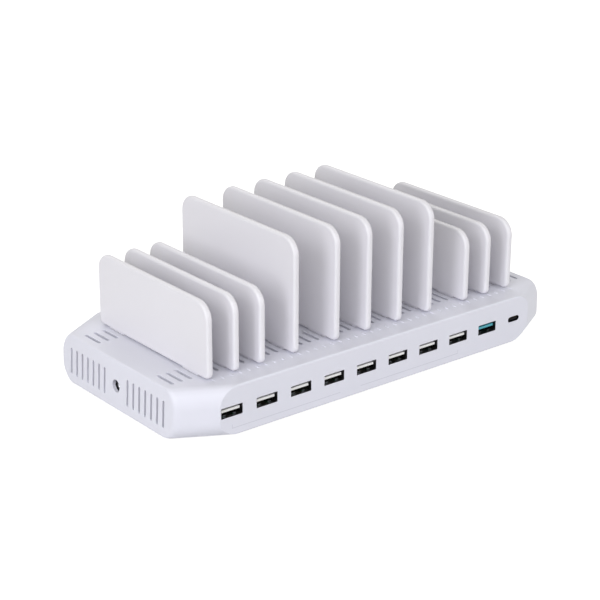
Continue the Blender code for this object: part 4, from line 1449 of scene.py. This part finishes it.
def heat_sink():
    """Extruded block with a row of fins."""
    low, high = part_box("heat_sink")
    pitch = (high.y - low.y) / (FIN_COUNT - 1 + FIN_SHARE)
    piece = block("finned_sink", low, (high.x, high.y, low.z + FIN_BASE))
    fin_low = (low.x, low.y, low.z + FIN_BASE / 2)
    fin = block("shape", fin_low, (high.x, low.y + pitch * FIN_SHARE, high.z))
    combine(piece, row("fins", fin, FIN_COUNT, (0, pitch, 0), fin_metal), "UNION")
    soften(piece, BOARD_BEVEL / 2)
    place_piece(smooth(piece), "fin_aluminium", fin_metal, "heat_sink")


def solder_joints():
    """A row of solder joints behind each large socket."""
    step = STRIP_SIDE_SHIFTS[3] - STRIP_SIDE_SHIFTS[2]
    count = len(STRIP_SIDE_SHIFTS)
    profile = [(JOINT_RADIUS, -CLEARANCE / 2)]
    for sine, cosine in quarter_turn(JOINT_STEPS)[1:-1]:
        profile.append((JOINT_RADIUS * cosine, JOINT_RISE * sine))
    joints = []
    for place in socket_places:
        start = (place.x - step * (count - 1) / 2, socket_high.y + 2 * JOINT_RADIUS, board_top)
        shape = turned("shape", [start], profile, sides=JOINT_SIDES)
        joints.append(row("joints", shape, count, (step, 0, 0), tin_solder))
    piece = smooth(joined("solder_joints", joints), JOINT_SMOOTH_ANGLE)
    place_piece(piece, "can_aluminium", tin_solder)


def circuit_board():
    """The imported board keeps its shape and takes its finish."""
    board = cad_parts["main_board"]
    board.data.materials.clear()
    board.data.materials.append(board_mask)


# Divider plates


def plate_feet():
    """Two feet with the tabs that reach down through the slits."""
    half_foot = PLATE_FOOT_WIDTH / 2
    half_tab = TAB_WIDTH / 2
    foot_z = deck_z + CLEARANCE
    tip = deck_z - TAB_DEPTH
    right = [
        (half_tab / 2, tip),
        (half_tab, tip + TAB_CHAMFER),
        (half_tab, foot_z),
        (half_foot - PLATE_FOOT_ROUND, foot_z),
        (half_foot, foot_z + PLATE_FOOT_ROUND),
        (half_foot, deck_z + PLATE_UNDER_GAP + TAB_ROOT),
    ]
    profile = right + [(-u, z) for u, z in reversed(right)]
    both = []
    for slit_y in (slit_front_y, slit_rear_y):
        ends = (slit_y + CLEARANCE, slit_y + SLIT_LENGTH - CLEARANCE)
        both.append([[(u, y, z) for u, z in profile] for y in ends])
    return skinned("plate_feet", *both)


def divider_plate(name, top):
    """One plate with its feet, at the middle of the deck."""
    low = deck_z + PLATE_UNDER_GAP
    grown = plates.grow(
        "shape",
        depth=plate_high.y - plate_low.y,
        height=top - low,
        thickness=plate_high.x - plate_low.x,
        edge=PLATE_EDGE,
        top_radius=PLATE_TOP_RADIUS,
        base_radius=PLATE_BASE_RADIUS,
        corner_steps=PLATE_CORNER_STEPS,
        edge_steps=PLATE_EDGE_STEPS,
        centre=(0.0, (plate_low.y + plate_high.y) / 2, (low + top) / 2),
        finish=plate_moulding,
    )
    piece = joined(name, [grown], TOUCH)
    combine(piece, plate_feet(), "UNION")
    return smooth(piece)


def divider_plates():
    """The eleven plates, each on its own body; plates of one height share their shape."""
    made = {}
    for number, name, _, high, place in numbered("divider"):
        kind = "plate_" + str(round(high.z / MM))
        if kind not in made:
            made[kind] = divider_plate(kind, high.z)
        piece = copy_moved(made[kind], "plate_" + number, (place.x, 0, 0))
        place_piece(piece, "white_divider", plate_moulding, name, body=name)
    for piece in made.values():
        bpy.data.objects.remove(piece)


# Stage


def seen_directly(nodes):
    """1 for rays from the camera, from mirrors and through glass, 0 for the light they gather."""
    path = nodes.add("ShaderNodeLightPath", output="Is Camera Ray")
    return path.larger(path.beside("Is Glossy Ray")).larger(path.beside("Is Transmission Ray"))


def studio_world():
    """Even soft light that shows as white."""
    world = bpy.data.worlds.new("studio")
    world.use_nodes = True
    nodes = Nodes(world.node_tree)
    shader = world.node_tree.nodes["Background"]
    direct = seen_directly(nodes)
    nodes.feed(shader.inputs["Color"], nodes.mix(direct, opaque(AMBIENT_TINT), opaque(WHITE)))
    nodes.feed(shader.inputs["Strength"], AMBIENT + (1 - AMBIENT) * direct)
    bpy.context.scene.world = world


def floor():
    """Pale floor that shows white, keeps a soft shadow and is clear from below."""
    bm = bmesh.new()
    corners = ((-1, -1), (1, -1), (1, 1), (-1, 1))
    bm.faces.new([bm.verts.new((x * FLOOR_HALF, y * FLOOR_HALF, 0.0)) for x, y in corners])
    mesh = bpy.data.meshes.new("floor")
    bm.to_mesh(mesh)
    bm.free()
    material = bpy.data.materials.new("pale_floor")
    material.use_nodes = True
    tree = material.node_tree
    tree.nodes.remove(tree.nodes["Principled BSDF"])
    nodes = Nodes(tree)
    bounce = nodes.add("ShaderNodeBsdfDiffuse", {"Color": opaque(WHITE, FLOOR_BOUNCE)})
    shown = nodes.add("ShaderNodeBsdfDiffuse", {"Color": opaque(WHITE, FLOOR_SHARE)})
    glow = nodes.add("ShaderNodeEmission", {"Strength": FLOOR_GLOW})
    bright = nodes.add("ShaderNodeAddShader", {0: shown, 1: glow})
    above = nodes.add("ShaderNodeMixShader", {0: seen_directly(nodes), 1: bounce, 2: bright})
    clear = nodes.add("ShaderNodeBsdfTransparent")
    below = nodes.add("ShaderNodeNewGeometry", output="Backfacing")
    whole = nodes.add("ShaderNodeMixShader", {0: below, 1: above, 2: clear})
    nodes.feed(tree.nodes["Material Output"].inputs["Surface"], whole)
    mesh.materials.append(material)
    put("floor", mesh)


def lamp(name, turn, rise, power, width, height):
    """Large soft lamp, placed by its turn and rise in degrees."""
    data = bpy.data.lights.new(name, "AREA")
    data.shape = "RECTANGLE"
    data.size = width
    data.size_y = height
    data.energy = power
    data.color = LAMP_TINT
    turn = math.radians(turn)
    rise = math.radians(rise)
    level = math.cos(rise)
    direction = Vector((-math.cos(turn) * level, -math.sin(turn) * level, math.sin(rise)))
    piece = put(name, data)
    piece.location = direction * LAMP_DISTANCE
    piece.rotation_mode = "QUATERNION"
    piece.rotation_quaternion = direction.to_track_quat("Z", "Y")


def camera():
    """Camera at the photograph's viewing angle."""
    data = bpy.data.cameras.new("camera")
    data.lens = CAMERA_LENS
    data.sensor_width = CAMERA_SENSOR
    data.clip_start = CAMERA_NEAR
    flat = math.cos(CAMERA_PITCH)
    drop = -math.sin(CAMERA_PITCH)
    ahead = Vector((math.sin(CAMERA_YAW) * flat, math.cos(CAMERA_YAW) * flat, drop))
    level = Vector((math.cos(CAMERA_YAW), -math.sin(CAMERA_YAW), 0.0))
    rise = level.cross(ahead)
    right = level * math.cos(CAMERA_ROLL) + rise * math.sin(CAMERA_ROLL)
    up = rise * math.cos(CAMERA_ROLL) - level * math.sin(CAMERA_ROLL)
    eye = put("camera", data)
    eye.rotation_mode = "QUATERNION"
    eye.rotation_quaternion = Matrix((right, up, -ahead)).transposed().to_quaternion()
    eye.location = CAMERA_PLACE
    bpy.context.scene.camera = eye


bpy.context.scene.view_settings.view_transform = "Standard"
camera()
studio_world()
floor()
for lamp_name, setting in LAMPS.items():
    lamp(lamp_name, *setting)

housing()
deck_marks()
base_cover()
feet()
screws("cover", COVER_HEAD_HEIGHT, False)
screws("board", BOARD_HEAD_HEIGHT, True)
large_sockets()
socket_contacts()
small_socket()
power_inlet()
inductors()
chips()
capacitors()
heat_sink()
solder_joints()
divider_plates()
circuit_board()
